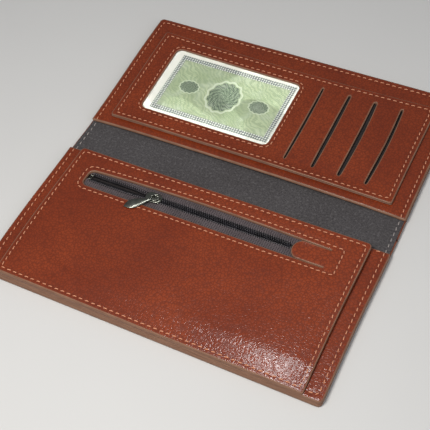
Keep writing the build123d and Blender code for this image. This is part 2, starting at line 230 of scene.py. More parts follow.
def box_of(*nodes):
    """The box round some CAD nodes."""
    corners = [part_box(node) for node in nodes]
    low = [min(lo[axis] for lo, hi in corners) for axis in range(3)]
    high = [max(hi[axis] for lo, hi in corners) for axis in range(3)]
    return Box(low[0], high[0], low[1], high[1], low[2], high[2])


def seam_box(node):
    """The line down the middle of a CAD seam's thread, as a box."""
    return box_of(node).grown(-thread_half_width)


zip_cover = box_of("zip_half_cover")
card_cover = box_of("card_half_cover")
spine = box_of("spine_cover")
interlining = box_of("zip_half_interlining")
lining = box_of("zip_half_lining")
zip_base = box_of("zip_half_base_panel")
card_base = box_of("card_half_base_panel")
pocket_front = box_of("zip_pocket_front")
card_panel = box_of("card_panel")
whole = Box(zip_cover.x0, zip_cover.x1, zip_cover.y0, card_cover.y1, 0.0, pocket_front.z1)
spine_middle = (spine.y0 + spine.y1) / 2

tab = box_of("zip_end_tab")
tapes = box_of("zip_tape_lower", "zip_tape_upper")
coil = box_of("zip_coil_lower", "zip_coil_upper")
slider = box_of("zip_slider")
zip_row = (coil.y0 + coil.y1) / 2
coil_middle = (coil.z0 + coil.z1) / 2
slider_middle = (slider.x0 + slider.x1) / 2
flip = next(joint for joint in frame["joints"] if joint["name"] == "pull_flip")
bridge_axis = Vector(flip["pos_m"])

zip_edge = seam_box("zip_half_edge_thread")
card_edge = seam_box("card_half_edge_thread")
window = seam_box("window_thread").grown(-window_margin)
pane = window.grown(pane_overlap_x, pane_overlap_y)
slot_low = card_panel.y0 + slot_end_margin
slot_high = card_panel.y1 - slot_end_margin
slot_middles = [box_of(f"card_pocket_cloth_{number}").x1 - cloth_past_slot for number in (1, 2, 3)]
slot_middles.append(slot_middles[-1] + last_slot_spacing)


# ---- flat shapes
def arc(centre, radius, start, stop, step):
    """Points along an arc, angles in degrees."""
    count = max(3, math.ceil(abs(math.radians(stop - start)) * radius / step) + 1)
    angles = np.radians(np.linspace(start, stop, count))
    return np.column_stack([centre[0] + radius * np.cos(angles), centre[1] + radius * np.sin(angles)])


def outline(box, *radii):
    """Outline of a box with one radius, or one for each corner from the lower left, anticlockwise."""
    radii = radii * 4 if len(radii) == 1 else radii
    corners = [
        (box.x0, box.y0, 1, 1),
        (box.x1, box.y0, -1, 1),
        (box.x1, box.y1, -1, -1),
        (box.x0, box.y1, 1, -1),
    ]
    points = []
    for number, (x, y, towards_x, towards_y) in enumerate(corners):
        radius = radii[number]
        if radius == 0:
            points.append([[x, y]])
            continue
        centre = (x + towards_x * radius, y + towards_y * radius)
        start = 180 + 90 * number
        points.append(arc(centre, radius, start, start + 90, arc_step))
    return np.vstack(points)


def distances_along(line):
    """How far along a line each of its points is."""
    lengths = np.linalg.norm(np.diff(line, axis=0), axis=1)
    return np.concatenate([[0], np.cumsum(lengths)])


def point_at(distance, along, line):
    """The point at a distance along a line."""
    return np.column_stack([np.interp(distance, along, line[:, axis]) for axis in range(2)])


def resampled(points, step, closed=True):
    """The same line with points an even step apart."""
    line = np.vstack([points, points[:1]]) if closed else np.asarray(points)
    along = distances_along(line)
    count = max(3, round(along[-1] / step))
    at = np.linspace(0, along[-1], count + 1)
    return point_at(at[:-1] if closed else at, along, line)


def signed_area(loop):
    """Area inside a closed line, positive where it runs anticlockwise."""
    x, y = loop[:, 0], loop[:, 1]
    return 0.5 * float(np.sum(x * np.roll(y, -1) - np.roll(x, -1) * y))


def left_normals(loop):
    """Unit normals to the left of a closed line."""
    tangent = np.roll(loop, -1, axis=0) - np.roll(loop, 1, axis=0)
    normal = np.column_stack([-tangent[:, 1], tangent[:, 0]])
    return normal / np.maximum(np.linalg.norm(normal, axis=1, keepdims=True), 1e-12)


def distance_to(points, line, closed=True):
    """How far each point is from a line."""
    starts = np.asarray(line)
    ends = np.roll(starts, -1, axis=0)
    if not closed:
        starts, ends = starts[:-1], ends[:-1]
    best = np.full(len(points), np.inf)
    for start, end in zip(starts, ends):
        run = end - start
        length = max(float(run @ run), 1e-18)
        share = np.clip((points - start) @ run / length, 0, 1)
        away = points - start - share[:, None] * run
        best = np.minimum(best, np.einsum("ij,ij->i", away, away))
    return np.sqrt(best)


def inside(points, loop):
    """True for the points inside a closed line."""
    found = np.zeros(len(points), bool)
    x, y = points[:, 0], points[:, 1]
    for (ax, ay), (bx, by) in zip(loop, np.roll(loop, -1, axis=0)):
        crosses = (ay > y) != (by > y)
        if ay != by:
            found ^= crosses & (x < (bx - ax) * (y - ay) / (by - ay) + ax)
    return found


def in_sheet(points, loops):
    """True for the points inside the first loop and outside the others."""
    keep = inside(points, loops[0])
    for hole in loops[1:]:
        keep &= ~inside(points, hole)
    return keep


def ramp(value, start, stop):
    """0 before start, 1 after stop, and smooth between them."""
    share = np.clip((value - start) / (stop - start), 0, 1)
    return share * share * (3 - 2 * share)


def powered(wave, power):
    """A sine or cosine drawn towards a square shape by a power below 1, with its sign kept."""
    return np.sign(wave) * np.abs(wave) ** power


# ---- how the real wallet lies
left_reach = 70 * MM            # how far from each end its own shape is felt
right_reach = 60 * MM
left_front_out = 1.4 * MM       # the left end stands out at the front
left_spine_in = 0.5 * MM        # and in at the spine
left_back_out = 0.9 * MM
right_slant = 0.35 * MM
end_front_start = 20 * MM       # from the front edge, where an end's shape at the front is full
left_sway = (0.25 * MM, 52, 0.6)        # size of an edge's waviness, radians per metre, and start
right_sway = (0.20 * MM, 61, 2.0)
front_reach = 14 * MM
front_flare = 1.5 * MM          # how far the front's lowest layer stands out past its top
front_slant = 0.75 * MM
back_reach = 9 * MM
back_slant = 0.5 * MM
back_bow = 1.1 * MM             # how far the back's middle lies in
back_bow_ends = 2.0 * MM
back_bow_start = (45 * MM, 15 * MM)     # from the back edge: the bow comes in between these
back_bow_stop = (10 * MM, 4 * MM)       # and goes out between these

free_edge_rise = 1.8 * MM       # of the card half's panels, off the lining beside the spine
free_edge_reach = 13 * MM
free_edge_end = 3 * MM          # from the panels' ends, where they lie flat
free_edge_sway = (0.25 * MM, 45, 1.0)

droop_reach = 15 * MM           # from the pocket's front edge, how far its leather comes down
droop_left = 0.35 * MM
droop_right = 1.10 * MM
corner_droop = 0.6 * MM
corner_droop_reach = 14 * MM
corner_droop_start = 20 * MM    # from the pocket's back edge
corner_droop_full = 5 * MM      # from its front edge

# Soft creases in the pocket's leather, from its lower left corner: start, end, depth and width.
pocket_creases = [
    ((4.1 * MM, 29.5 * MM), (56.1 * MM, 8.5 * MM), 0.35 * MM, 3.0 * MM),
    ((6.1 * MM, 17.5 * MM), (40.1 * MM, 7.5 * MM), 0.25 * MM, 2.2 * MM),
    ((26.1 * MM, 41.5 * MM), (66.1 * MM, 23.5 * MM), 0.18 * MM, 3.5 * MM),
]
crease_wander = 1.5 * MM
crease_rate = 90                # radians per metre
pocket_swell = 0.35 * MM
swell_full = 25 * MM            # from the pocket's front edge
swell_fall = (20 * MM, 5 * MM)  # before the zip's middle: the swell goes out between these
tongue_rim_out = 0.2 * MM       # the sink's soft rim, outside the tongue and inside it
tongue_rim_in = 0.4 * MM
tongue_nose_rim = 1 * MM
tongue_sink_full = 2 * MM       # from the nose, where the sink starts to lessen

slot_lip_rise = 0.34 * MM       # of the leather on a slot's left, and its sink on the right
slot_lip_sink = 0.14 * MM
slot_lip_reach = (3.2 * MM, 3.0 * MM)
slot_lip_past = 1 * MM          # how far the lips go past a slot's ends
slot_lip_full = 9 * MM          # from a slot's ends, where the lips are full

pocket_wave = (0.10 * MM, 0.7)  # size and phase of each sheet's waves
panel_wave = (0.09 * MM, 1.3)
base_wave = (0.06 * MM, 2.1)
lining_wave = (0.03 * MM, 4.0)
pane_wave = (0.05 * MM, 3.0)
pane_under_wave = (0.025 * MM, 3.0)


def sway(along, size, rate, start):
    """The slight waviness of an edge, at a place along it."""
    return size * np.sin(along * rate + start)


def end_shift(x, y):
    """How far the wallet's two ends lie off square."""
    near_left = ramp(x, whole.x0 + left_reach, whole.x0)
    near_right = ramp(x, whole.x1 - right_reach, whole.x1)
    lower = ramp(y, zip_base.y1, whole.y0 + end_front_start)
    upper = ramp(y, spine_middle, whole.y1)
    left_out = (left_spine_in - left_back_out * upper) * ramp(y, zip_base.y1, card_base.y0)
    left_out = left_out - left_front_out * lower
    left = (left_out + sway(y, *left_sway)) * near_left
    right = (right_slant * (upper - lower) + sway(y, *right_sway)) * near_right
    return left + right


def front_shift(x, y, z):
    """How far the front edge flares out towards its lowest layer and slants."""
    flare = front_flare * (1 - np.clip(z / whole.z1, 0, 1))
    slant = front_slant * np.clip(x / whole.x1, -1, 1)
    return -(flare + slant) * ramp(y, whole.y0 + front_reach, whole.y0)


def back_slant_shift(x, y):
    """How far the back edge slants out towards its right end."""
    return back_slant * (1 + x / whole.x1) * ramp(y, whole.y1 - back_reach, whole.y1)


def back_bow_shift(x, y):
    """The bow of the card panel's back, inside the back edge."""
    start = ramp(y, whole.y1 - back_bow_start[0], whole.y1 - back_bow_start[1])
    stop = ramp(y, whole.y1 - back_bow_stop[0], whole.y1 - back_bow_stop[1])
    return start * (1 - stop) * (back_bow_ends * (x / whole.x1) ** 2 - back_bow)


def settled(points):
    """Points moved from the exact cut to where worn, sewn leather lies."""
    x, y, z = np.asarray(points).T
    x = x + end_shift(x, y)
    y = y + front_shift(x, y, z)
    y = y + back_slant_shift(x, y)
    y = y + back_bow_shift(x, y)
    return np.column_stack([x, y, z])


def waves(x, y, size, phase):
    """Low, uneven waves in a sheet of leather."""
    slow = np.sin(x * 47 + y * 23 + phase) * np.sin(y * 61 - x * 19 + 2 * phase)
    quick = np.sin(x * 131 + 3 * phase) * np.sin(y * 153 + x * 40 + phase)
    return size * (slow + 0.35 * quick)


def wavy(size, phase):
    """A relief of such waves and nothing else."""
    return lambda x, y: waves(x, y, size, phase)


flat_relief = wavy(0, 0)
base_relief = wavy(*base_wave)
lining_relief = wavy(*lining_wave)
pane_relief = wavy(*pane_wave)
pane_under = wavy(*pane_under_wave)


def crease(x, y, start, end, depth, width):
    """A soft, shallow crease between two places."""
    run = (end[0] - start[0], end[1] - start[1])
    length = math.hypot(*run)
    along = ((x - start[0]) * run[0] + (y - start[1]) * run[1]) / length
    aside = ((y - start[1]) * run[0] - (x - start[0]) * run[1]) / length
    aside = aside + crease_wander * np.sin(along * crease_rate)
    ends = ramp(along, 0, length * 0.35) * (1 - ramp(along, length * 0.6, length))
    return depth * ends * np.exp(-((aside / width) ** 2))


def pocket_relief(x, y):
    """Padded swell of the zip pocket, its sunken tongue, and slack beside the opening."""
    across = np.clip(1 - (x / pocket_front.x1) ** 6, 0, 1)
    front = ramp(y, pocket_front.y0, pocket_front.y0 + swell_full)
    back = ramp(y, zip_row - swell_fall[0], zip_row - swell_fall[1])
    swell = pocket_swell * across * front * (1 - back)
    nose = ramp(x, tab.x0 - tongue_nose_rim, tab.x0)
    root = ramp(x, tab.x0 + tongue_sink_full, tab.x0 + tongue_end)
    low_side = ramp(y, tab.y0 - tongue_rim_out, tab.y0 + tongue_rim_in)
    high_side = ramp(y, tab.y1 - tongue_rim_in, tab.y1 + tongue_rim_out)
    tongue = nose * (1 - root) * (low_side * (1 - high_side))
    from_corner = (x - pocket_front.x0, y - pocket_front.y0)
    creased = sum(crease(*from_corner, *line) for line in pocket_creases)
    return swell - tongue_sink * tongue - creased + waves(x, y, *pocket_wave)


def pocket_droop(x, y):
    """How far the pocket's leather comes down to its sewn front edge, most of all at the right corner."""
    depth = droop_left + (droop_right - droop_left) * ramp(x, whole.x0, pocket_front.x1)
    front = depth * ramp(y, pocket_front.y0 + droop_reach, pocket_front.y0)
    corner = corner_droop * ramp(x, pocket_front.x1 - corner_droop_reach, pocket_front.x1)
    corner = corner * ramp(y, pocket_front.y1 - corner_droop_start, pocket_front.y0 + corner_droop_full)
    return -front - corner


def card_relief(x, y):
    """Waves of the card panel, and the lips of its slots, one side up and the other down."""
    height = waves(x, y, *panel_wave)
    low_end = ramp(y, slot_low - slot_lip_past, slot_low + slot_lip_full)
    high_end = ramp(y, slot_high - slot_lip_full, slot_high + slot_lip_past)
    for middle in slot_middles:
        left = np.where(x < middle, np.exp((x - middle) / slot_lip_reach[0]), 0)
        right = np.where(x >= middle, np.exp((middle - x) / slot_lip_reach[1]), 0)
        height = height + low_end * (1 - high_end) * (slot_lip_rise * left - slot_lip_sink * right)
    return height


def free_edge_lift(x, y):
    """How far the card half's panels bow up off the lining beside the spine."""
    ends = 1 - np.clip(np.abs(x) / (card_base.x1 - free_edge_end), 0, 1) ** 4
    fall = 1 - ramp(y, card_base.y0, card_base.y0 + free_edge_reach)
    return ends * fall * (free_edge_rise + sway(x, *free_edge_sway))


def height_of(top, relief):
    """The height of a sheet's upper face at any x and y."""
    return lambda x, y: top + relief(x, y)


def seam_dip(points, seams, depth=seam_dip_depth):
    """How far the thread pulls the leather down beside the seams, and its share of that depth."""
    dip = np.zeros(len(points))
    for line, closed in seams:
        away = distance_to(points, resampled(line, seam_point_step, closed), closed)
        dip = np.maximum(dip, np.exp(-((away / seam_dip_width) ** 2)))
    return -depth * dip, dip


# ---- meshes
def finish_mesh(name, vertices, faces, material, attributes=None):
    """A smooth object, with its rest places and other attributes kept for its material."""
    mesh = bpy.data.meshes.new(name)
    mesh.from_pydata([tuple(v) for v in vertices], [], faces)
    mesh.polygons.foreach_set("use_smooth", [True] * len(mesh.polygons))
    for key, values in {"rest_place": vertices, **(attributes or {})}.items():
        vector = np.ndim(values) == 2
        attribute = mesh.attributes.new(key, "FLOAT_VECTOR" if vector else "FLOAT", "POINT")
        attribute.data.foreach_set("vector" if vector else "value", np.asarray(values, np.float32).ravel())
    mesh.materials.append(material)
    mesh.update()
    thing = bpy.data.objects.new(name, mesh)
    bpy.context.scene.collection.objects.link(thing)
    return thing


def lofted(sections):
    """Vertices and faces of a closed skin over rings that have the same number of points."""
    sides = len(sections[0])
    faces = []
    for row in range(len(sections) - 1):
        for i in range(sides):
            j = (i + 1) % sides
            a = row * sides
            faces.append((a + i, a + j, a + sides + j, a + sides + i))
    last = (len(sections) - 1) * sides
    faces.append(tuple(range(sides))[::-1])
    faces.append(tuple(last + i for i in range(sides)))
    return np.vstack(sections), faces


def joined(parts):
    """Several parts' vertices and faces as one."""
    vertices, faces, count = [], [], 0
    for points, polygons in parts:
        vertices.append(points)
        faces += [tuple(corner + count for corner in polygon) for polygon in polygons]
        count += len(points)
    return np.vstack(vertices), faces


def tube(path, radii, sides):
    """Vertices and faces of a round tube along a path, with one radius or one for each of its points."""
    path = np.asarray(path, float)
    radii = np.broadcast_to(radii, len(path))
    tangent = np.gradient(path, axis=0)
    tangent /= np.linalg.norm(tangent, axis=1, keepdims=True)
    side = np.cross(tangent, (1.0, 0.0, 0.0))
    weak = np.linalg.norm(side, axis=1) < 0.2
    side[weak] = np.cross(tangent[weak], (0.0, 0.0, 1.0))
    side /= np.linalg.norm(side, axis=1, keepdims=True)
    other = np.cross(tangent, side)
    angles = np.linspace(0, -2 * math.pi, sides, endpoint=False)
    rings = [path + (math.cos(angle) * side + math.sin(angle) * other) * radii[:, None] for angle in angles]
    return lofted(np.stack(rings, axis=1))


def inner_points(loops, step):
    """A staggered grid of points inside the first loop, outside the others and off their lines."""
    low, high = loops[0].min(axis=0), loops[0].max(axis=0)
    rows = []
    for number, y in enumerate(np.arange(low[1], high[1], step * 0.87)):
        start = low[0] + (step / 2 if number % 2 else 0)
        xs = np.arange(start, high[0], step)
        rows.append(np.column_stack([xs, np.full(len(xs), y)]))
    points = np.vstack(rows)
    points = points[in_sheet(points, loops)]
    for loop in loops:
        points = points[distance_to(points, loop) > step * 0.6]
    return points


def triangles_in(loops, extra):
    """Triangles that fill the first loop, without the others, as indices into the loops' and extra points."""
    points = np.vstack(loops + [extra])
    edges = []
    start = 0
    for loop in loops:
        count = len(loop)
        edges += [(start + i, start + (i + 1) % count) for i in range(count)]
        start += count
    result = delaunay_2d_cdt([Vector(p) for p in points], edges, [], 0, 1e-7, True)
    places, faces, origins = np.array([v[:] for v in result[0]]), result[2], result[3]
    triangles = np.array([face for face in faces if len(face) == 3])
    triangles = triangles[in_sheet(places[triangles].mean(axis=1), loops)]
    index = np.array([origin[0] if origin else -1 for origin in origins])
    triangles = index[triangles]
    return triangles[(triangles >= 0).all(axis=1)]


def edge_rings(loops, normals, radii):
    """The points of a sheet's rounded edges, ring after ring, from the underside up.

    Gives their places, how far each lies inside its face, and its share of edge paint, which on a face's rim
    is partly a painted highlight. Where the two halves of a continuous sheet meet, on the spine's middle
    line, the edge is left square and bare.
    """
    quarter = [math.radians(angle) for angle in (90, 60, 30, 0)]
    profile = [(angle, 0) for angle in quarter] + [(angle, 1) for angle in quarter[::-1]]
    flat, level, paint = [], [], []
    for angle, upper in profile:
        inset = radii[upper] * (1 - math.cos(angle))
        depth = radii[upper] * (1 - math.sin(angle))
        for loop, normal in zip(loops, normals):
            cut = (np.abs(loop[:, 1] - spine_middle) > edge_step / 2).astype(float)
            flat.append(loop + normal * inset * cut[:, None])
            level.append((-depth if upper else depth) * cut)
            # On a face's rim the edge paint is partly real paint and partly a painted highlight.
            paint.append((rim_paint_and_highlight if angle == quarter[0] else 1.0) * cut)
    return np.vstack(flat), np.concatenate(level), np.concatenate(paint)


def edge_faces(loops, rings):
    """The faces between the rings of points round each loop."""
    ring_size = sum(len(loop) for loop in loops)
    faces = []
    start = 0
    for loop in loops:
        count = len(loop)
        for number in range(rings - 1):
            low = number * ring_size + start
            high = low + ring_size
            for i in range(count):
                j = (i + 1) % count
                faces.append((low + i, low + j, high + j, high + i))
        start += count
    return faces


def facing(loop, area_sign):
    """The loop, run the way round that gives its area the wanted sign."""
    return loop if signed_area(loop) * area_sign > 0 else loop[::-1]


def cut_sheet(name, material, shape, bottom, top, holes=(), relief=None, under=None, seams=(),
              step=grid_step, rounding=(0.45, 0.45), lift=None):
    """A sheet cut from leather or cloth, with rounded edges, dips along its seams and its own relief.

    relief and under give how far the top and the underside stand off flat at some x and y, and lift
    raises both. The two roundings, of the lower and of the upper edge, are shares of the thickness. The
    attribute edge is 1 on the cut edges, and seam is 1 along the seams.
    """
    loops = [facing(resampled(shape, edge_step), 1)]
    loops += [facing(resampled(hole, hole_step), -1) for hole in holes]
    normals = [left_normals(loop) for loop in loops]
    radii = [share * (top - bottom) for share in rounding]
    rims = [loop + normal * max(radii) for loop, normal in zip(loops, normals)]
    extra = inner_points(rims, step)
    edge_places, level, paint = edge_rings(loops, normals, radii)
    ring_size = sum(len(loop) for loop in loops)
    edge_count = len(edge_places)

    flat = np.vstack([edge_places, extra, extra])
    level = np.concatenate([level, np.zeros(2 * len(extra))])
    paint = np.concatenate([paint, np.zeros(2 * len(extra))])
    is_top = np.zeros(len(flat), bool)
    is_top[edge_count // 2:edge_count + len(extra)] = True

    dip, near_seam = seam_dip(flat, seams)
    x, y = flat.T
    over = top + dip + (relief(x, y) if relief else 0)
    below = bottom + (under(x, y) if under else 0)
    z = np.where(is_top, over, below) + level + (lift(x, y) if lift else 0)

    triangles = triangles_in(rims, extra)
    above = triangles + edge_count - ring_size
    beneath = np.where(triangles < ring_size, triangles, above + len(extra))
    faces = above.tolist() + beneath[:, ::-1].tolist() + edge_faces(loops, edge_count // ring_size)
    vertices = settled(np.column_stack([x, y, z]))
    return finish_mesh(name, vertices, faces, material, {"edge": paint, "seam": near_seam})


# ---- stitches
def stitch_runs(line, closed, pitch):
    """The middle, half run and half length of each stitch along a seam."""
    line = np.asarray(line)
    path = np.vstack([line, line[:1]]) if closed else line
    along = distances_along(path)
    count = max(1, round(along[-1] / pitch))
    runs = []
    for number in range(count):
        middle = (number + 0.5) * along[-1] / count + random.normal(0, stitch_wander)
        half = stitch_length / 2 * random.uniform(*stitch_length_range)
        start, end = (point_at(middle + side * half, along, path)[0] for side in (-1, 1))
        turn = stitch_slant + random.normal(0, stitch_turn)
        straight_x, straight_y = (end - start) / 2
        run = np.array([straight_x * math.cos(turn) - straight_y * math.sin(turn),
                        straight_x * math.sin(turn) + straight_y * math.cos(turn)])
        runs.append(((start + end) / 2, run, half))
    return runs


def stitch_rings(middle, run, half, height, up, width):
    """The rings of points round one stitch, which arches over the leather and dives into its holes."""
    shares = np.linspace(-1, 1, stitch_sections)
    angles = np.linspace(0, 2 * math.pi, stitch_sides, endpoint=False)[::up]
    across = np.array([-run[1], run[0]]) / max(np.linalg.norm(run), 1e-9)
    spots = middle + shares[:, None] * run
    arch = stitch_rise - stitch_dive * np.abs(shares) ** 3
    level = height(spots[:, 0], spots[:, 1]) + up * arch
    thick = width / 2 * np.sqrt(np.clip(1 - 0.75 * np.abs(shares) ** 5, 0, 1))
    rings, ply = [], []
    for share, spot, z, radius in zip(shares, spots, level, thick):
        sideways = spot + across * np.cos(angles)[:, None] * radius
        rings.append(np.column_stack([sideways, z + up * 0.8 * radius * np.sin(angles)]))
        ply.append(np.column_stack([np.full(len(angles), share * half), angles / (2 * math.pi)]))
    return rings, np.vstack(ply)


def stitch_mesh(name, material, seams, height, pitch=stitch_pitch, up=1, lift=None):
    """One mesh of separate slanted stitches along some seams. height gives the surface at x and y."""
    parts, plies = [], []
    for line, closed in seams:
        for number, (middle, run, half) in enumerate(stitch_runs(line, closed, pitch)):
            rings, ply = stitch_rings(middle, run, half, height, up, stitch_width)
            parts.append(lofted(rings))
            plies.append(np.column_stack([ply, np.full(len(ply), number % 2)]))
    vertices, faces = joined(parts)
    if lift:
        vertices[:, 2] += lift(vertices[:, 0], vertices[:, 1])
    return finish_mesh(name, settled(vertices), faces, material, {"ply": np.vstack(plies)})


def straight(*corners):
    """An open line through some corners."""
    return np.array(corners), False


def ring(box, radius):
    """A closed line round a box."""
    return outline(box, radius), True


# ---- material graphs
class Graph:
    """A material and short ways to add nodes to it. Scales are per metre, and bump heights in metres."""

    def __init__(self, name):
        self.material = bpy.data.materials.new(name)
        self.material.use_nodes = True
        self.tree = self.material.node_tree
        self.tree.nodes.clear()
        self.shader = self.add("ShaderNodeBsdfPrincipled")
        output = self.add("ShaderNodeOutputMaterial")
        self.link(self.shader.outputs["BSDF"], output.inputs["Surface"])

    def add(self, kind, **settings):
        node = self.tree.nodes.new(kind)
        for key, value in settings.items():
            setattr(node, key, value)
        return node

    def link(self, source, target):
        self.tree.links.new(source, target)

    def feed(self, target, value):
        """Joins a socket to an input, or sets the input to a plain value."""
        if isinstance(value, bpy.types.NodeSocket):
            self.link(value, target)
        elif hasattr(target.default_value, "__len__") and len(target.default_value) == 4:
            target.default_value = (*value[:3], 1.0)
        else:
            target.default_value = value

    def attribute(self, name, output="Fac"):
        return self.add("ShaderNodeAttribute", attribute_name=name).outputs[output]

    def place(self, stretch=(1, 1, 1), turn=0.0):
        """The piece's own place at rest, in metres, stretched along each axis and turned about Z."""
        mapping = self.add("ShaderNodeMapping")
        mapping.inputs["Scale"].default_value = stretch
        mapping.inputs["Rotation"].default_value = (0, 0, turn)
        self.link(self.attribute("rest_place", "Vector"), mapping.inputs["Vector"])
        return mapping.outputs["Vector"]

    def split(self, vector):
        """A vector's X and Y."""
        node = self.add("ShaderNodeSeparateXYZ")
        self.link(vector, node.inputs[0])
        return node.outputs["X"], node.outputs["Y"]

    def texture(self, kind, output, vector, settings, **inputs):
        """A texture node's output, for a vector and some input values."""
        node = self.add(kind, **settings)
        self.link(vector, node.inputs["Vector"])
        for key, value in inputs.items():
            node.inputs[key].default_value = value
        return node.outputs[output]

    def noise(self, vector, scale, detail=4.0, rough=0.55, distortion=0.0):
        return self.texture("ShaderNodeTexNoise", "Fac", vector, {}, Scale=scale, Detail=detail,
                            Roughness=rough, Distortion=distortion)

    def warped(self, vector, scale, amount, by=None):
        """A vector moved about by a noise colour, taken at another vector where by gives one."""
        colour = self.texture("ShaderNodeTexNoise", "Color", by or vector, {}, Scale=scale)
        shift = self.add("ShaderNodeVectorMath", operation="MULTIPLY_ADD")
        self.link(colour, shift.inputs[0])
        shift.inputs[1].default_value = (amount, amount, amount)
        self.link(vector, shift.inputs[2])
        return shift.outputs[0]

    def cells(self, vector, scale):
        """How far each place is from the border of its cell."""
        return self.texture("ShaderNodeTexVoronoi", "Distance", vector, {"feature": "DISTANCE_TO_EDGE"},
                            Scale=scale)

    def wave(self, vector, scale, distortion=0.0, direction="X"):
        return self.texture("ShaderNodeTexWave", "Fac", vector, {"bands_direction": direction}, Scale=scale,
                            Distortion=distortion)

    def weave(self, vector, scale, distortion):
        """Ribs along X and Y, multiplied into the dots of a weave."""
        across, along = (self.wave(vector, scale, distortion, direction) for direction in "XY")
        return self.times(across, along)

    def math(self, operation, a, b=0.0, clamp=False):
        node = self.add("ShaderNodeMath", operation=operation, use_clamp=clamp)
        self.feed(node.inputs[0], a)
        self.feed(node.inputs[1], b)
        return node.outputs[0]

    def plus(self, a, b):
        return self.math("ADD", a, b)

    def minus(self, a, b, clamp=False):
        return self.math("SUBTRACT", a, b, clamp)

    def times(self, a, b):
        return self.math("MULTIPLY", a, b)

    def over(self, a, b):
        return self.math("DIVIDE", a, b)

    def sine(self, angle):
        return self.math("SINE", angle)

    def stretch(self, value, low, high, to_low=0.0, to_high=1.0):
        """A value moved smoothly from one range to another."""
        node = self.add("ShaderNodeMapRange", interpolation_type="SMOOTHSTEP")
        for number, entry in enumerate((value, low, high, to_low, to_high)):
            self.feed(node.inputs[number], entry)
        return node.outputs[0]

    def mix(self, share, a, b):
        node = self.add("ShaderNodeMix", data_type="RGBA")
        self.feed(node.inputs[0], share)
        self.feed(node.inputs[6], a)
        self.feed(node.inputs[7], b)
        return node.outputs[2]

    def bump(self, height, distance):
        node = self.add("ShaderNodeBump")
        node.inputs["Strength"].default_value = 1.0
        node.inputs["Distance"].default_value = distance
        self.link(height, node.inputs["Height"])
        return node.outputs["Normal"]

    def surface(self, **inputs):
        for key, value in inputs.items():
            self.feed(self.shader.inputs[key.replace("_", " ")], value)
        return self.material


def shade(colour, share):
    """A colour made darker."""
    return tuple(share * channel for channel in colour)


# ---- materials
def painted_edge(g, fine):
    """The share and the streaky colour of a cut edge's paint."""
    share = g.stretch(g.plus(g.attribute("edge"), g.times(fine, 0.14)), 0.16, 0.42)
    streaks = g.noise(g.place(stretch=(0.35, 0.35, 5)), scale=300, detail=4, rough=0.6)
    return share, g.mix(g.stretch(streaks, 0.35, 0.7), (0.270, 0.145, 0.092), (0.190, 0.096, 0.060))


def leather_material(name, light, dark, gloss):
    """Pebbled aniline leather with creases, uneven dye, painted shade in the grain's valleys and in the dips
    along the seams, and painted cut edges.
    """
    g = Graph(name)
    place = g.place()
    pebbles = g.cells(g.warped(place, scale=480, amount=0.0020), scale=590)
    fine = g.noise(place, scale=3200, detail=3)
    creases = g.noise(g.place(stretch=(1, 2, 1), turn=0.5), scale=240, detail=2.5, rough=0.5, distortion=0.5)
    dye = g.noise(place, scale=20, detail=5, rough=0.6)
    spots = g.noise(place, scale=260, detail=4)
    colour = g.mix(g.stretch(dye, 0.30, 0.70), dark, light)
    colour = g.mix(g.stretch(spots, 0.45, 0.75, 0.0, 0.30), colour, shade(dark, 0.62))
    # Painted shade: the leather is darker in the valleys between the grain's pebbles.
    colour = g.mix(g.stretch(pebbles, 0.0, 0.20, 0.62, 0.0), colour, shade(dark, 0.55))
    # Painted shade: the leather is darker in the dips along the seams.
    colour = g.mix(g.times(g.attribute("seam"), 0.35), colour, shade(dark, 0.5))
    edge, paint = painted_edge(g, fine)
    colour = g.mix(edge, colour, paint)
    height = g.plus(g.stretch(pebbles, 0.0, 0.42), g.times(fine, 0.04))
    height = g.plus(height, g.times(creases, 0.8))
    grain = g.bump(g.times(height, g.minus(1.0, g.times(edge, 0.8))), 0.000033)
    polish = g.minus(0.36, g.times(edge, 0.28))
    return g.surface(Base_Color=colour, Roughness=0.55, Normal=grain, Specular_IOR_Level=0.14,
                     Coat_Weight=polish, Coat_Roughness=g.stretch(spots, 0.3, 0.7, gloss, gloss + 0.08),
                     Coat_Normal=grain)


def lining_material():
    """Close, felted dark cloth with painted cut edges."""
    g = Graph("lining_cloth")
    place = g.place()
    fuzz = g.noise(place, scale=1100, detail=6, rough=0.75)
    tufts = g.noise(place, scale=700, detail=2)
    blotch = g.noise(place, scale=45, detail=3)
    colour = g.mix(g.stretch(blotch, 0.3, 0.7), (0.072, 0.066, 0.067), (0.086, 0.080, 0.082))
    colour = g.mix(g.stretch(fuzz, 0.42, 0.66, 0.0, 0.75), colour, (0.026, 0.025, 0.028))
    colour = g.mix(g.stretch(tufts, 0.50, 0.72, 0.0, 0.45), colour, (0.150, 0.142, 0.146))
    colour = g.mix(g.stretch(g.attribute("edge"), 0.3, 0.7), colour, (0.28, 0.14, 0.085))
    height = g.plus(g.times(g.weave(place, scale=330, distortion=1.5), 0.5), fuzz)
    return g.surface(Base_Color=colour, Roughness=0.95, Normal=g.bump(height, 0.00018), Sheen_Weight=0.12,
                     Sheen_Roughness=0.5, Specular_IOR_Level=0.1)


def thread_material(name, light, dark):
    """Twisted polyester thread, with painted shade in the grooves of its twist."""
    g = Graph(name)
    along, round_it = g.split(g.attribute("ply", "Vector"))
    turns = g.plus(g.times(along, 1400), g.times(round_it, 2.0))
    band = g.math("PINGPONG", turns, 0.5)
    wear = g.noise(g.place(), scale=300, detail=3)
    # Painted shade: darker where the twist's bump is low, in the grooves between its turns.
    colour = g.mix(g.stretch(band, 0.05, 0.30), dark, light)
    colour = g.mix(g.stretch(wear, 0.45, 0.75, 0.0, 0.45), colour, dark)
    return g.surface(Base_Color=colour, Roughness=0.5, Normal=g.bump(band, 0.00010), Sheen_Weight=0.3,
                     Specular_IOR_Level=0.45)


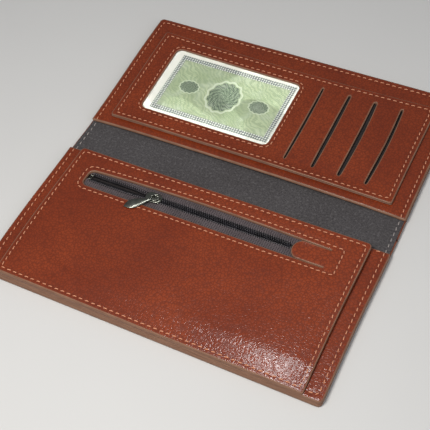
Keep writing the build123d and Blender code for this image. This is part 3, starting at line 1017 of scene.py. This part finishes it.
def tape_material():
    """Woven zip tape: ribs across it, broken into dots by the rows of the weave, with painted shade in the
    weave's gaps.
    """
    g = Graph("zip_tape")
    place = g.place()
    dots = g.times(g.wave(place, 250, 0.6, "X"), g.wave(place, 330, 0.6, "Y"))
    fuzz = g.noise(place, scale=1500, detail=4, rough=0.7)
    drift = g.noise(place, scale=90, detail=3)
    colour = g.mix(g.stretch(drift, 0.3, 0.7), (0.078, 0.060, 0.064), (0.108, 0.086, 0.092))
    # Painted shade: near black where the weave dips, between its dots.
    colour = g.mix(g.stretch(dots, 0.15, 0.60, 0.0, 0.92), colour, (0.012, 0.010, 0.012))
    colour = g.mix(g.stretch(fuzz, 0.50, 0.75, 0.0, 0.45), colour, (0.26, 0.22, 0.23))
    height = g.minus(g.plus(fuzz, 0.5), dots)
    return g.surface(Base_Color=colour, Roughness=0.85, Normal=g.bump(height, 0.00016), Sheen_Weight=0.15,
                     Specular_IOR_Level=0.25)


def coil_material():
    """Dark nylon coil."""
    g = Graph("zip_coil")
    fine = g.noise(g.place(), scale=1800, detail=3)
    worn = g.noise(g.place(), scale=260, detail=4)
    colour = g.mix(g.stretch(worn, 0.35, 0.75), (0.006, 0.005, 0.007), (0.022, 0.020, 0.026))
    return g.surface(Base_Color=colour, Roughness=g.stretch(fine, 0.3, 0.7, 0.26, 0.42),
                     Normal=g.bump(fine, 0.00002), Specular_IOR_Level=0.3)


def metal_material():
    """Dark plated metal with polishing marks."""
    g = Graph("zip_metal")
    marks = g.noise(g.place(stretch=(1, 6, 1), turn=0.6), scale=420, detail=4, rough=0.6)
    stain = g.noise(g.place(), scale=320, detail=4)
    colour = g.mix(g.stretch(stain, 0.3, 0.7), (0.125, 0.130, 0.110), (0.185, 0.190, 0.165))
    return g.surface(Base_Color=colour, Metallic=1.0, Roughness=g.stretch(marks, 0.3, 0.7, 0.25, 0.31),
                     Normal=g.bump(marks, 0.000001))


def window_material():
    """Clear soft plastic, faintly scuffed."""
    g = Graph("clear_sheet")
    scuffs = g.noise(g.place(stretch=(1, 7, 1), turn=0.8), scale=260, detail=5, rough=0.7)
    ripple = g.noise(g.place(), scale=120, detail=2)
    return g.surface(Base_Color=(0.97, 0.98, 0.97), Roughness=g.stretch(scuffs, 0.45, 0.75, 0.05, 0.22),
                     Transmission_Weight=1.0, IOR=1.20, Normal=g.bump(ripple, 0.00015))


def cloth_material():
    """Thin dark pocket cloth."""
    g = Graph("pocket_cloth")
    fuzz = g.noise(g.place(), scale=1300, detail=4)
    colour = g.mix(g.stretch(fuzz, 0.3, 0.7), (0.010, 0.008, 0.008), (0.026, 0.020, 0.020))
    height = g.plus(g.weave(g.place(), scale=500, distortion=0.5), fuzz)
    return g.surface(Base_Color=colour, Roughness=0.95, Normal=g.bump(height, 0.0001))


def board_material():
    """Painted edge of the stiffening inside the pocket."""
    g = Graph("interlining")
    streaks = g.noise(g.place(stretch=(0.4, 0.4, 5)), scale=520, detail=4, rough=0.6)
    colour = g.mix(g.stretch(streaks, 0.35, 0.7), (0.240, 0.125, 0.080), (0.165, 0.080, 0.052))
    return g.surface(Base_Color=colour, Roughness=0.7, Normal=g.bump(streaks, 0.0001))


def within(g, out_x, out_y, reach_x, reach_y):
    """1 inside a box whose soft sides lie at the given shares of the card's half size."""
    return g.times(g.stretch(out_x, *reach_x, 1, 0), g.stretch(out_y, *reach_y, 1, 0))


def rosette(g, colour, x, y, shift, half_wide, half_tall):
    """The colour with a plain scalloped rosette printed on it, in a pale halo."""
    wide = g.over(g.minus(x, shift), half_wide)
    tall = g.over(y, half_tall)
    far = g.math("POWER", g.plus(g.math("POWER", wide, 2.0), g.math("POWER", tall, 2.0)), 0.5)
    angle = g.math("ARCTAN2", tall, wide)
    reach = g.plus(far, g.times(g.sine(g.times(angle, 12.0)), 0.045))
    turned = g.sine(g.plus(g.times(angle, 24.0), g.times(far, 21.0)))
    lace = g.stretch(g.times(turned, g.sine(g.times(reach, 44.0))), -0.6, 0.6)
    lace_colour = g.mix(lace, (0.030, 0.050, 0.034), (0.200, 0.260, 0.170))
    colour = g.mix(g.stretch(reach, 0.93, 1.0, 1, 0), colour, lace_colour)
    halo = g.times(g.stretch(reach, 1.0, 1.04), g.stretch(reach, 1.12, 1.16, 1, 0))
    return g.mix(g.times(halo, 0.7), colour, (0.500, 0.550, 0.430))


def card_material(card):
    """Printed display card: a pale margin, a border of ticks, fine green line work and three rosettes."""
    g = Graph("card_stock")
    place = g.place()
    width, depth = card.size
    along, across = g.split(place)
    x = g.over(g.minus(along, (card.x0 + card.x1) / 2 + print_shift), width / 2)
    y = g.over(g.minus(across, (card.y0 + card.y1) / 2), depth / 2)
    out_x, out_y = g.math("ABSOLUTE", x), g.math("ABSOLUTE", y)
    printed = within(g, out_x, out_y, (0.85, 0.87), (0.82, 0.85))
    field = within(g, out_x, out_y, (0.79, 0.80), (0.70, 0.72))
    fine = g.wave(g.warped(g.place(turn=0.7), scale=70, amount=0.006, by=place), 330, 2.0)
    curls = g.wave(g.warped(place, scale=95, amount=0.011), 190, 3.0, "DIAGONAL")
    mottle = g.stretch(g.noise(place, scale=60, detail=2), 0.35, 0.65)
    green = g.mix(mottle, (0.310, 0.370, 0.225), (0.200, 0.265, 0.140))
    green = g.mix(g.stretch(curls, 0.30, 0.75, 0.0, 0.55), green, (0.120, 0.185, 0.090))
    green = g.mix(g.times(fine, 0.40), green, (0.440, 0.500, 0.350))
    ticks = g.stretch(g.weave(place, scale=215, distortion=3.0), 0.15, 0.45)
    border = g.mix(ticks, (0.100, 0.115, 0.120), (0.560, 0.590, 0.540))
    colour = g.mix(printed, (0.660, 0.660, 0.610), green)
    colour = g.mix(g.minus(printed, field, clamp=True), colour, border)
    for shift, half_wide, half_tall in ((0.0, 0.22, 0.42), (-0.52, 0.13, 0.17), (0.52, 0.13, 0.17)):
        colour = rosette(g, colour, x, y, shift, half_wide, half_tall)
    wear = g.noise(place, scale=130, detail=5)
    colour = g.mix(g.stretch(wear, 0.45, 0.8, 0.0, 0.35), colour, (0.480, 0.520, 0.450))
    return g.surface(Base_Color=colour, Roughness=0.55, Normal=g.bump(wear, 0.00004))


def floor_material():
    """A plain pale matt surface."""
    g = Graph("pale_floor")
    place = g.add("ShaderNodeTexCoord").outputs["Object"]
    tone = g.mix(g.noise(place, scale=6), (0.64, 0.64, 0.63), (0.68, 0.68, 0.67))
    return g.surface(Base_Color=tone, Roughness=0.85, Specular_IOR_Level=0.2)


cover_leather = leather_material("cover_leather", (0.200, 0.034, 0.011), (0.130, 0.020, 0.007), 0.26)
panel_leather = leather_material("panel_leather", (0.270, 0.042, 0.008), (0.190, 0.026, 0.005), 0.13)
lining_cloth = lining_material()
tan_thread = thread_material("thread", (0.80, 0.36, 0.19), (0.50, 0.16, 0.07))
pale_thread = thread_material("pale_thread", (0.40, 0.36, 0.34), (0.20, 0.17, 0.16))
sewing_thread = thread_material("sewing_thread", (0.36, 0.33, 0.35), (0.16, 0.14, 0.15))
zip_tape = tape_material()
zip_coil = coil_material()
zip_metal = metal_material()
clear_sheet = window_material()
pocket_cloth = cloth_material()
stiffening = board_material()


# ---- seams
pocket_seam = [ring(seam_box("zip_pocket_thread"), seam_radius)]
window_seam = [ring(seam_box("window_thread"), window_seam_radius)]
panel_seam = [ring(seam_box("card_panel_thread"), seam_radius)]


def bar_seam():
    """The short seam across the base panel's right strip, beside the spine."""
    y = zip_base.y1 - bar_from_edge
    return straight((pocket_front.x1 + bar_inset, y), (zip_edge.x1 - bar_inset, y))


def side_seam(start_x, edge_x):
    """The seam of a strip beside the zip pocket, from the pocket round a corner to the spine."""
    return straight((start_x, zip_edge.y0), (edge_x, zip_edge.y0), (edge_x, zip_base.y1))


def end_seams(low, high):
    """The two seams at the wallet's ends, between two values of y."""
    return [straight((x, low), (x, high)) for x in (zip_edge.x0, zip_edge.x1)]


def edge_seam(inner_y, outer_y):
    """A seam round three sides of a half: one end, the open edge and the other end."""
    left, right = zip_edge.x0, zip_edge.x1
    return [straight((left, inner_y), (left, outer_y), (right, outer_y), (right, inner_y))]


zip_side_seams = [
    side_seam(pocket_front.x0 - side_seam_start, zip_edge.x0),
    side_seam(pocket_front.x1 + side_seam_start, zip_edge.x1),
    bar_seam(),
]
card_side_seams = edge_seam(card_base.y0, card_edge.y1)
spine_seams = {
    "zip": end_seams(zip_base.y1, spine_middle),
    "card": end_seams(spine_middle, card_base.y0),
}
under_seams = {
    "zip": edge_seam(spine_middle, zip_edge.y0),
    "card": edge_seam(spine_middle, card_edge.y1),
}


# ---- the zip's opening
def bowed_top(x, box):
    """The bowed upper side of the zip's opening, or of a line round it, at some x."""
    share = (x - box.x0) / (box.x1 - box.x0)
    left_fall = opening_drop_left * np.clip(1 - share / 0.5, 0, 1) ** 2
    right_fall = opening_drop_right * np.clip((share - 0.5) / 0.5, 0, 1) ** 2
    return box.y1 - left_fall - right_fall


def opening_ends(box, radius, right, count):
    """The two arcs of an opening's left end, and its upper side as far as right, in count points."""
    xs = np.linspace(box.x0 + radius, right, count)
    upper_side = np.column_stack([xs, bowed_top(xs, box)])
    lower = arc((box.x0 + radius, box.y0 + radius), radius, 180, 270, arc_step)
    upper = arc((box.x0 + radius, upper_side[0, 1] - radius), radius, 90, 180, arc_step)
    return lower, upper, upper_side


def opening_seam_line():
    """The closed line of the seam round the zip's opening and its tongue."""
    box = seam_box("zip_opening_thread")
    lower, upper, upper_side = opening_ends(box, opening_seam_radius, box.x1 - opening_top_cut, 60)
    lower_right = [(box.x1 - opening_corner_cut, box.y0), (box.x1, box.y0 + opening_corner_cut)]
    upper_right = [(box.x1, upper_side[-1, 1] - opening_top_cut)]
    return np.vstack([lower, lower_right, upper_right, upper_side[::-1], upper])


def opening_cut():
    """The zip's opening, whose right end runs as two narrowing slits beside the round-nosed tongue."""
    box = seam_box("zip_opening_thread").grown(-opening_margin)
    stop = tab.x0 + tongue_end
    lower, upper, upper_side = opening_ends(box, opening_corner_radius, stop, 50)
    back = np.linspace(stop, tab.x0 + tongue_nose, 14)
    slit = tongue_slit * np.sqrt(np.clip((stop - back) / (stop - back[-1]), 0, 1)) + tongue_slit_end
    tongue_top = np.column_stack([back, bowed_top(back, box) - slit])
    tongue_foot = np.column_stack([back, box.y0 + slit])
    middle = (tongue_top[-1, 1] + tongue_foot[-1, 1]) / 2
    half = (tongue_top[-1, 1] - tongue_foot[-1, 1]) / 2
    angles = np.radians(np.linspace(270, 90, 24)[1:-1])
    nose = np.column_stack([back[-1] + tongue_nose * np.cos(angles), middle + half * np.sin(angles)])
    tongue = [tongue_foot, nose, tongue_top[::-1]]
    return np.vstack([lower, (stop, box.y0), *tongue, upper_side[::-1], upper])


def slot_cut(middle, half_width, bow, lean):
    """A cut slot, a little bowed, that gapes most at its middle or towards one end."""
    ys = np.linspace(slot_low, slot_high, 60)
    share = (ys - slot_low) / (slot_high - slot_low)
    half = half_width * (0.72 + 0.28 * np.sin(math.pi * share ** lean))
    half = half * np.sqrt(np.clip(np.minimum(share, 1 - share) / slot_end_taper, 0.2, 1))
    centre = middle + bow * np.sin(math.pi * share)
    return np.vstack([np.column_stack([centre + half, ys]), np.column_stack([centre - half, ys])[::-1]])


def slot_cuts(margin=0.0):
    """The four card slots, each made wider by a margin."""
    shapes = zip(slot_middles, slot_shapes)
    return [slot_cut(middle, half_width + margin, bow, lean) for middle, (half_width, bow, lean) in shapes]


opening_seam = [(opening_seam_line(), True)]


# ---- pieces of the cover and spine
def stands_for(piece, slot, *nodes, body=None):
    """Hides the CAD nodes that a piece stands for, and puts the piece on the body that it rides on. The slot
    is not used.
    """
    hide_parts(*nodes)
    if body:
        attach(piece, body)
    return piece


def sew(name, seams, height, node, thread=tan_thread, body=None, **settings):
    """The stitches of some seams, in place of a CAD seam."""
    stitches = stitch_mesh(name, thread, seams, height, **settings)
    return stands_for(stitches, "thread", node, body=body)


def half_outline(side, inset=0.0):
    """Outline of half of a continuous sheet, from the open edge to the spine's middle line."""
    ends = whole.grown(-inset, 0)
    if side == "zip":
        return outline(ends._replace(y1=spine_middle), corner_radius, corner_radius, 0, 0)
    return outline(ends._replace(y0=spine_middle), 0, 0, corner_radius, corner_radius)


def bend(piece, side):
    """Bakes a piece's place into its mesh, the same way for either half."""
    if side == "zip":
        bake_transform(piece)
    else:
        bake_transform(piece)


def cover_piece(side):
    """Half of the outer leather with its stiffening."""
    def under(x, y):
        return -seam_dip(np.column_stack([x, y]), under_seams[side], outer_dip_depth)[0]

    piece = cut_sheet(f"{side}_side_cover", cover_leather, half_outline(side), whole.z0,
                      interlining.z1, under=under, rounding=(0.4, 0.05))
    nodes = (f"{side}_half_cover", f"{side}_half_interlining", "spine_cover", "spine_interlining")
    return stands_for(piece, "cover_leather", *nodes)


def lining_piece(side):
    """Half of the lining, a little inside the cover's ends."""
    piece = cut_sheet(f"{side}_side_lining", lining_cloth, half_outline(side, lining_inset), lining.z0,
                      lining.z1, seams=spine_seams[side], rounding=(0.1, 0.1), relief=lining_relief)
    return stands_for(piece, "lining_cloth", f"{side}_half_lining", "spine_lining")


def cover_threads(side):
    """The stitches seen on the lining at the spine's ends, and those round the outside of the cover."""
    on_lining = height_of(lining.z1, flat_relief)
    under_cover = height_of(whole.z0 + outer_stitch_sink, flat_relief)
    return [
        sew(f"{side}_side_spine_stitches", spine_seams[side], on_lining, "spine_thread", pale_thread),
        sew(f"{side}_side_outer_stitches", under_seams[side], under_cover, "spine_thread", up=-1),
    ]


def make_cover():
    """The cover and the lining, in two halves that meet on the spine, with their seams."""
    depths = {"zip": spine_middle - whole.y0, "card": whole.y1 - spine_middle}
    for side, depth in depths.items():
        cover = cover_piece(side)
        inner = lining_piece(side)
        for piece in (cover, inner, *cover_threads(side)):
            bend(piece, side)


# ---- pieces of the zip half
def make_zip_base():
    """The leather panel that lies on the lining and makes the banknote pocket."""
    radii = (corner_radius, corner_radius, inner_corner_radius, inner_corner_radius)
    base = cut_sheet("zip_side_base_panel", panel_leather, outline(zip_base, *radii), lining.z1,
                     zip_base.z1, seams=zip_side_seams, relief=base_relief, rounding=(0.05, 0.25))
    nodes = ("zip_half_base_panel", "zip_half_panel_lining")
    stands_for(base, "panel_leather", *nodes, body="zip_half")


def make_pocket_core():
    """The stiffening that gives the zip pocket its depth, open behind the zip."""
    box = pocket_front.grown(-core_inset)._replace(y0=pocket_front.y0 + core_front_inset)
    hole = outline(tapes.grown(-core_hole_inset), cloth_corner_radius)
    core = cut_sheet("zip_pocket_core", stiffening, outline(box, *pocket_radii), zip_base.z1,
                     pocket_front.z0, step=coarse_step, rounding=(0.05, 0.05), relief=pocket_droop,
                     holes=[hole])
    stands_for(core, "interlining", "zip_pocket_filler", body="zip_half")


def make_pocket_back():
    """The cloth seen through the zip where the rows are apart."""
    bottom = zip_base.z1 + cloth_gap
    back = cut_sheet("zip_pocket_back_cloth", pocket_cloth, outline(tapes, cloth_corner_radius), bottom,
                     bottom + cloth_thickness, step=cloth_step)
    return stands_for(back, "pocket_cloth", "zip_pocket_back", body="zip_half")


def make_pocket_front():
    """The pocket's leather front with the zip's opening and the tongue over the zip's end."""
    hole = opening_cut()
    front = cut_sheet("zip_pocket_leather", panel_leather, outline(pocket_front, *pocket_radii),
                      pocket_front.z0, pocket_front.z1, holes=[hole], seams=pocket_seam + opening_seam,
                      relief=pocket_relief, lift=pocket_droop, rounding=(0.05, 0.35))
    stands_for(front, "panel_leather", "zip_pocket_front", "zip_end_tab", body="zip_half")


def make_zip_half():
    """Everything on the zip half but the zip itself."""
    make_zip_base()
    make_pocket_core()
    back = make_pocket_back()
    make_pocket_front()
    on_base = height_of(zip_base.z1, base_relief)
    on_pocket = height_of(pocket_front.z1, pocket_relief)
    lie = {"body": "zip_half", "lift": pocket_droop}
    sew("zip_edge_stitches", zip_side_seams, on_base, "zip_half_edge_thread", body="zip_half")
    sew("zip_pocket_stitches", pocket_seam, on_pocket, "zip_pocket_thread", **lie)
    sew("zip_opening_stitches", opening_seam, on_pocket, "zip_opening_thread", pitch=small_stitch_pitch,
        **lie)


# ---- the zip
def row_parting(x):
    """Half the gap between the two rows: shut right of the slider, and a little apart left of it."""
    return parting * (1 - ramp(x, slider.x0 - parting_length, slider_middle))


def make_tape(name, side):
    """One woven tape, with a bead along its inner edge where the coil is sewn on."""
    node = f"zip_tape_{name}"
    box = box_of(node)
    xs = np.arange(box.x0, box.x1 + tape_overhang, tape_step)
    shares = np.concatenate([np.linspace(0, 0.16, 5), np.linspace(0.22, 1.0, 13)])
    inner = zip_row + side * (tape_start + row_parting(xs))
    outer = box.y1 if side > 0 else box.y0
    rib = tape_rib * np.sin(xs / tape_rib_pitch * math.pi)
    top = []
    for share in shares:
        y = inner + (outer - inner) * share
        bead = tape_bead * np.exp(-((share - tape_bead_place) / tape_bead_place) ** 2)
        z = box.z1 - tape_sink + bead + rib + waves(xs, y, *tape_wave)
        top.append(np.column_stack([xs, y, z]))
    bottom = [column * (1, 1, 0) + (0, 0, box.z0) for column in top]
    rings = np.stack(top + bottom[::-1], axis=1)
    vertices, faces = lofted(rings[:, ::-side])
    tape = finish_mesh(f"zip_tape_strip_{name}", settled(vertices), faces, zip_tape)
    stands_for(tape, "zip_tape", node, body="zip_half")


def coil_turn(x, side):
    """One turn of a coil row, with the wire flattened into a head where the rows mesh."""
    angles = np.radians(np.linspace(-150, 150, 13))
    head = row_gap - row_mesh * ramp(x, slider_middle, slider.x1) + row_parting(x)
    turn = np.column_stack([
        x + coil_slant * np.sin(angles),
        zip_row + side * (head + coil_reach * (1 - np.cos(angles))),
        coil_middle + coil_rise * np.sin(angles),
    ])
    return tube(turn, coil_wire * (1 + coil_head * np.exp(-(angles / coil_head_reach) ** 2)), 7)


def coil_cord(side):
    """The cord that the turns of a row are sewn round."""
    xs = np.arange(coil.x0 - cord_overhang, coil.x1 + cord_overhang, cord_step)
    ys = zip_row + side * (cord_place + row_parting(xs))
    return tube(np.column_stack([xs, ys, np.full(len(xs), coil_middle)]), cord_radius, 8)


def sewing_stitch(x, side):
    """One stitch over the coil's edge, between two turns."""
    across = np.linspace(-1, 1, 7)
    line = np.column_stack([
        x + sewing_lean * across,
        zip_row + side * (sewing_place + row_parting(x) + sewing_half * across),
        coil_middle + sewing_height - sewing_arch * across ** 2,
    ])
    return tube(line, sewing_radius * np.sqrt(1.02 - across ** 2), 7)


def make_coil(name, side):
    """One row of the coil, and the thread that sews it to its tape."""
    node = f"zip_coil_{name}"
    start = coil.x0 + (coil_pitch / 2 if side > 0 else 0)
    turns = [coil_turn(x, side) for x in np.arange(start, coil.x1, coil_pitch)]
    vertices, faces = joined(turns + [coil_cord(side)])
    row = finish_mesh(f"zip_coil_row_{name}", settled(vertices), faces, zip_coil)
    stitches = [sewing_stitch(x, side) for x in np.arange(start + coil_pitch / 2, coil.x1, coil_pitch)]
    vertices, faces = joined(stitches)
    sewing = finish_mesh(f"{row.name}_sewing", settled(vertices), faces, sewing_thread, {"ply": vertices * 0})
    stands_for(row, "zip_coil", node, body="zip_half")
    stands_for(sewing, "thread", node, body="zip_half")


def make_stops(node, rows):
    """Bent wire stops at one of the zip's ends, one on each row, or one staple across both."""
    box = box_of(node)
    width = box.y1 - box.y0
    angles = np.radians(np.linspace(-30, 210, 13))
    loops = []
    for side in rows:
        half = stop_half_width if side else width / 2 - staple_side_inset
        for x in np.linspace(box.x0 + stop_end_inset, box.x1 - stop_end_inset, 3):
            y = zip_row + side * width * stop_place + half * np.cos(angles)
            z = (box.z0 + box.z1) / 2 + (box.z1 - box.z0) * stop_rise * np.sin(angles)
            loops.append(tube(np.column_stack([np.full(len(angles), x), y, z]), stop_wire, 7))
    stop = finish_mesh(f"{node}_bent", *joined(loops), zip_metal)
    stands_for(stop, "zip_metal", node, body="zip_half")


def domed_plate(x0, x1, half_width, low, high, dome):
    """A slider's plate: broad at one end, narrower at the other, and rounded all over."""
    middle, half = (x0 + x1) / 2, (x1 - x0) / 2
    angles = np.linspace(0, 2 * math.pi, 24, endpoint=False)
    sections = []
    for share in np.cos(np.linspace(math.pi, 0, 19)):
        fullness = max((1 - abs(share) ** 3.2) ** 0.5, 0.04)
        side = powered(np.cos(angles), 0.55) * half_width * (1 - 0.10 * share) * fullness
        rise = powered(np.sin(angles), 0.7) * (high - low) / 2 * fullness ** 0.5
        crown = dome * (1 - (side / half_width) ** 2) * (rise > 0) * (1 - abs(share) ** 3.2) ** 0.5
        xs = np.full(len(angles), middle + half * share)
        sections.append(np.column_stack([xs, zip_row + side, (low + high) / 2 + rise + crown]))
    return lofted(sections)


def slider_flange(side, half_width, height):
    """The wall at one side of the slider, which presses the rows together."""
    xs = np.linspace(slider.x0 + flange_start, slider.x1 - flange_stop, 12)
    taper = flange_taper * ramp(xs, slider.x0 + taper_start, slider.x1 - taper_stop)
    ys = zip_row + side * (half_width - flange_inset - taper)
    return tube(np.column_stack([xs, ys, np.full(len(xs), height)]), flange_radius, 10)


def slider_bridge(plate_top):
    """The arch on the slider that holds the pull's eye."""
    angles = np.radians(np.linspace(-8, 188, 25))
    rise = slider.z1 - plate_top - bridge_top_gap
    arch = np.column_stack([
        bridge_axis.x + powered(np.cos(angles), 0.6) * bridge_reach,
        np.full(len(angles), zip_row),
        plate_top + np.sin(angles) * rise,
    ])
    return tube(arch, bridge_radius, 10)


def make_slider():
    """The slider: two plates, the flanges that press the rows together, and the bridge."""
    half_width = (slider.y1 - slider.y0) / 2
    plate_top = bridge_axis.z - plate_below_axis
    inset = lower_plate_inset
    upper = domed_plate(slider.x0, slider.x1, half_width, plate_top - plate_thickness, plate_top,
                        plate_dome)
    lower = domed_plate(slider.x0 + inset, slider.x1 - inset, half_width - inset / 2, slider.z0,
                        slider.z0 + lower_plate_thickness, 0.0)
    flanges = [slider_flange(side, half_width, (plate_top + slider.z0) / 2) for side in (-1, 1)]
    parts = [upper, lower, *flanges, slider_bridge(plate_top)]
    body = finish_mesh("slider_body", *joined(parts), zip_metal)
    stands_for(body, "zip_metal", "zip_slider", body="slider")


def along_pull(u, v, w):
    """Places given along the pull, across it and above it, from the flip axis."""
    along = Vector(flip["axis"]).cross(Vector((0, 0, 1)))
    if along.x > 0:
        along = -along
    u, v, w = np.broadcast_arrays(u, v, w)
    return np.column_stack([
        bridge_axis.x + along.x * u - along.y * v,
        bridge_axis.y + along.y * u + along.x * v,
        bridge_axis.z + w,
    ])


def pull_blade():
    """The pull's neck and its domed drop."""
    turns = np.linspace(0, 2 * math.pi, 20, endpoint=False)
    sections = []
    for share in (np.sin(np.linspace(-math.pi / 2, math.pi / 2, 27)) + 1) / 2:
        belly = math.sin(math.pi * min(share, 0.999) ** 1.75) ** 0.8
        half = pull_neck_half * (1 - share) ** 0.5 + pull_drop_half * belly
        half *= math.sqrt(max(1 - share ** 14, 0.0012))
        thick = (pull_half_thickness + pull_crown * belly) * math.sqrt(max(1 - share ** 10, 0.002))
        rise = powered(np.sin(turns), 0.9) * thick
        rise = np.where(rise < 0, rise * 0.6, rise) - pull_sink
        along = pull_neck + (pull_tip - pull_neck) * share
        sections.append(along_pull(along, powered(np.cos(turns), 0.8) * half, rise))
    return lofted(sections)


def make_pull():
    """The pull: an oval eye round the bridge, a short neck, and a domed drop."""
    angles = np.linspace(0, 2 * math.pi, 41)
    eye = along_pull(eye_middle + np.cos(angles) * eye_half_length, np.sin(angles) * eye_half_width, 0.0)
    pull = finish_mesh("slider_pull", *joined([pull_blade(), tube(eye, eye_wire, 10)]), zip_metal)
    stands_for(pull, "zip_metal", "zip_pull", body="pull")


def make_zip():
    """The tapes with their coil rows, the stops, the slider and its pull."""
    for name, side in (("upper", 1), ("lower", -1)):
        make_tape(name, side)
        make_coil(name, side)
    make_stops("zip_top_stops", rows=(-1, 1))
    make_stops("zip_bottom_stop", rows=(0,))
    make_slider()
    make_pull()


# ---- pieces of the card half
def make_card_base():
    """The leather panel that lies on the lining and makes the second banknote pocket."""
    radii = (free_corner_radius, free_corner_radius, corner_radius, corner_radius)
    base = cut_sheet("card_side_base_panel", panel_leather, outline(card_base, *radii), lining.z1,
                     card_base.z1, seams=card_side_seams, relief=base_relief, lift=free_edge_lift)
    nodes = ("card_half_base_panel", "card_half_panel_lining")
    stands_for(base, "panel_leather", *nodes, body="card_half")


def make_card_panel():
    """The leather front of the card pockets, with the window and the slots."""
    holes = [outline(window, window_radius)] + slot_cuts()
    panel = cut_sheet("card_panel_leather", panel_leather, outline(card_panel, panel_corner_radius),
                      card_panel.z0, card_panel.z1, holes=holes, seams=panel_seam + window_seam,
                      relief=card_relief, lift=free_edge_lift)
    stands_for(panel, "panel_leather", "card_panel", body="card_half")


def make_panel_backing():
    """The thin stiffening behind the card panel."""
    box = box_of("card_panel_reinforcement")
    holes = [outline(pane, window_radius)] + slot_cuts(backing_past_slot)
    backing = cut_sheet("card_panel_backing", stiffening, outline(box, cloth_corner_radius),
                        card_base.z1 + backing_gap, box.z1, step=coarse_step, lift=free_edge_lift,
                        holes=holes)
    stands_for(backing, "interlining", "card_panel_reinforcement", body="card_half")


def make_card_pocket(number):
    """The cloth behind one card slot."""
    node = f"card_pocket_cloth_{number}"
    box = box_of(node)
    cloth = cut_sheet(f"card_pocket_{number}", pocket_cloth, outline(box, cloth_corner_radius), box.z0,
                      box.z1, step=coarse_step, lift=free_edge_lift)
    stands_for(cloth, "pocket_cloth", node, body="card_half")


def make_display_card():
    """The printed card behind the window."""
    box = box_of("insert_card")
    card = cut_sheet("display_card", card_material(box), outline(box, card_radius), box.z0, box.z1,
                     step=cloth_step)
    stands_for(card, "card_stock", "insert_card", body="card_half")


def make_window_pane():
    """The clear sheet in the window. It casts no shadow, so that the lamps reach the card."""
    box = box_of("window_sheet")
    sheet = cut_sheet("window_pane", clear_sheet, outline(pane, pane_radius), box.z0, box.z1,
                      step=pane_step, relief=pane_relief, under=pane_under)
    sheet.visible_shadow = False
    stands_for(sheet, "clear_sheet", "window_sheet", body="card_half")


def make_card_half():
    """Everything on the card half."""
    make_card_base()
    make_card_panel()
    make_panel_backing()
    for number in range(1, 5):
        make_card_pocket(number)
    make_display_card()
    make_window_pane()
    on_base = height_of(card_base.z1, base_relief)
    on_panel = height_of(card_panel.z1, card_relief)
    lie = {"body": "card_half", "lift": free_edge_lift}
    sew("card_edge_stitches", card_side_seams, on_base, "card_half_edge_thread", **lie)
    sew("card_panel_stitches", panel_seam, on_panel, "card_panel_thread", **lie)
    sew("window_stitches", window_seam, on_panel, "window_thread", **lie)


# ---- stage
floor_size = 6.0
floor_gap = 0.3 * MM

# Each lamp's name, place, width and depth, power in watts, and colour.
lamps = [
    ("key", (-0.03, -0.28, 0.50), (0.16, 0.16), 2.45, (1.0, 0.97, 0.93)),
    ("fill", (0.90, -0.25, 0.70), (0.80, 0.80), 2.4, (0.95, 0.97, 1.0)),
    ("glint", (-0.065, 0.150, 0.92), (0.20, 0.04), 2.8, (1.0, 0.99, 1.0)),
]
surround_colour = (0.93, 0.95, 1.0, 1.0)
surround_strength = 0.25

camera_place = (0.171348, -0.301315, 0.433180)
camera_right = (0.89770854, 0.43437141, -0.07376212)
camera_up = (-0.30814564, 0.73864909, 0.59953631)
camera_back = (0.31490575, -0.51547939, 0.79694126)
camera_lens = 85.064            # in millimetres, as Blender gives it
camera_nearest = 10 * MM


def make_floor():
    """A plain pale floor under the wallet."""
    bpy.ops.mesh.primitive_plane_add(size=floor_size, location=(0, 0, -floor_gap))
    floor = bpy.context.object
    floor.name = "floor"
    floor.data.materials.append(floor_material())


def make_surround():
    """A dim, even light from all round."""
    world = bpy.data.worlds.new("studio")
    world.use_nodes = True
    background = world.node_tree.nodes["Background"]
    background.inputs["Color"].default_value = surround_colour
    background.inputs["Strength"].default_value = surround_strength
    bpy.context.scene.world = world
    bpy.context.scene.view_settings.view_transform = "Standard"


def make_lamps():
    """The lamps, all aimed at the wallet's middle. The glint lamp shows only in the gloss."""
    for name, place, size, power, colour in lamps:
        light = bpy.data.lights.new(name, "AREA")
        light.shape = "RECTANGLE"
        light.size, light.size_y = size
        light.energy = power
        light.color = colour
        lamp = bpy.data.objects.new(name, light)
        lamp.location = place
        lamp.visible_diffuse = name != "glint"
        lamp.rotation_mode = "QUATERNION"
        lamp.rotation_quaternion = (-Vector(place)).to_track_quat("-Z", "Y")
        bpy.context.scene.collection.objects.link(lamp)


def make_camera():
    """A viewpoint above the right front corner, looking down at the open wallet."""
    camera = bpy.data.objects.new("camera", bpy.data.cameras.new("camera"))
    camera.data.lens = camera_lens
    camera.data.sensor_width = 36.0
    camera.data.clip_start = camera_nearest
    turn = Matrix((camera_right, camera_up, camera_back)).transposed().to_4x4()
    camera.matrix_world = Matrix.Translation(camera_place) @ turn
    bpy.context.scene.collection.objects.link(camera)
    bpy.context.scene.camera = camera


make_cover()
make_zip_half()
make_zip()
make_card_half()
make_floor()
make_surround()
make_lamps()
make_camera()
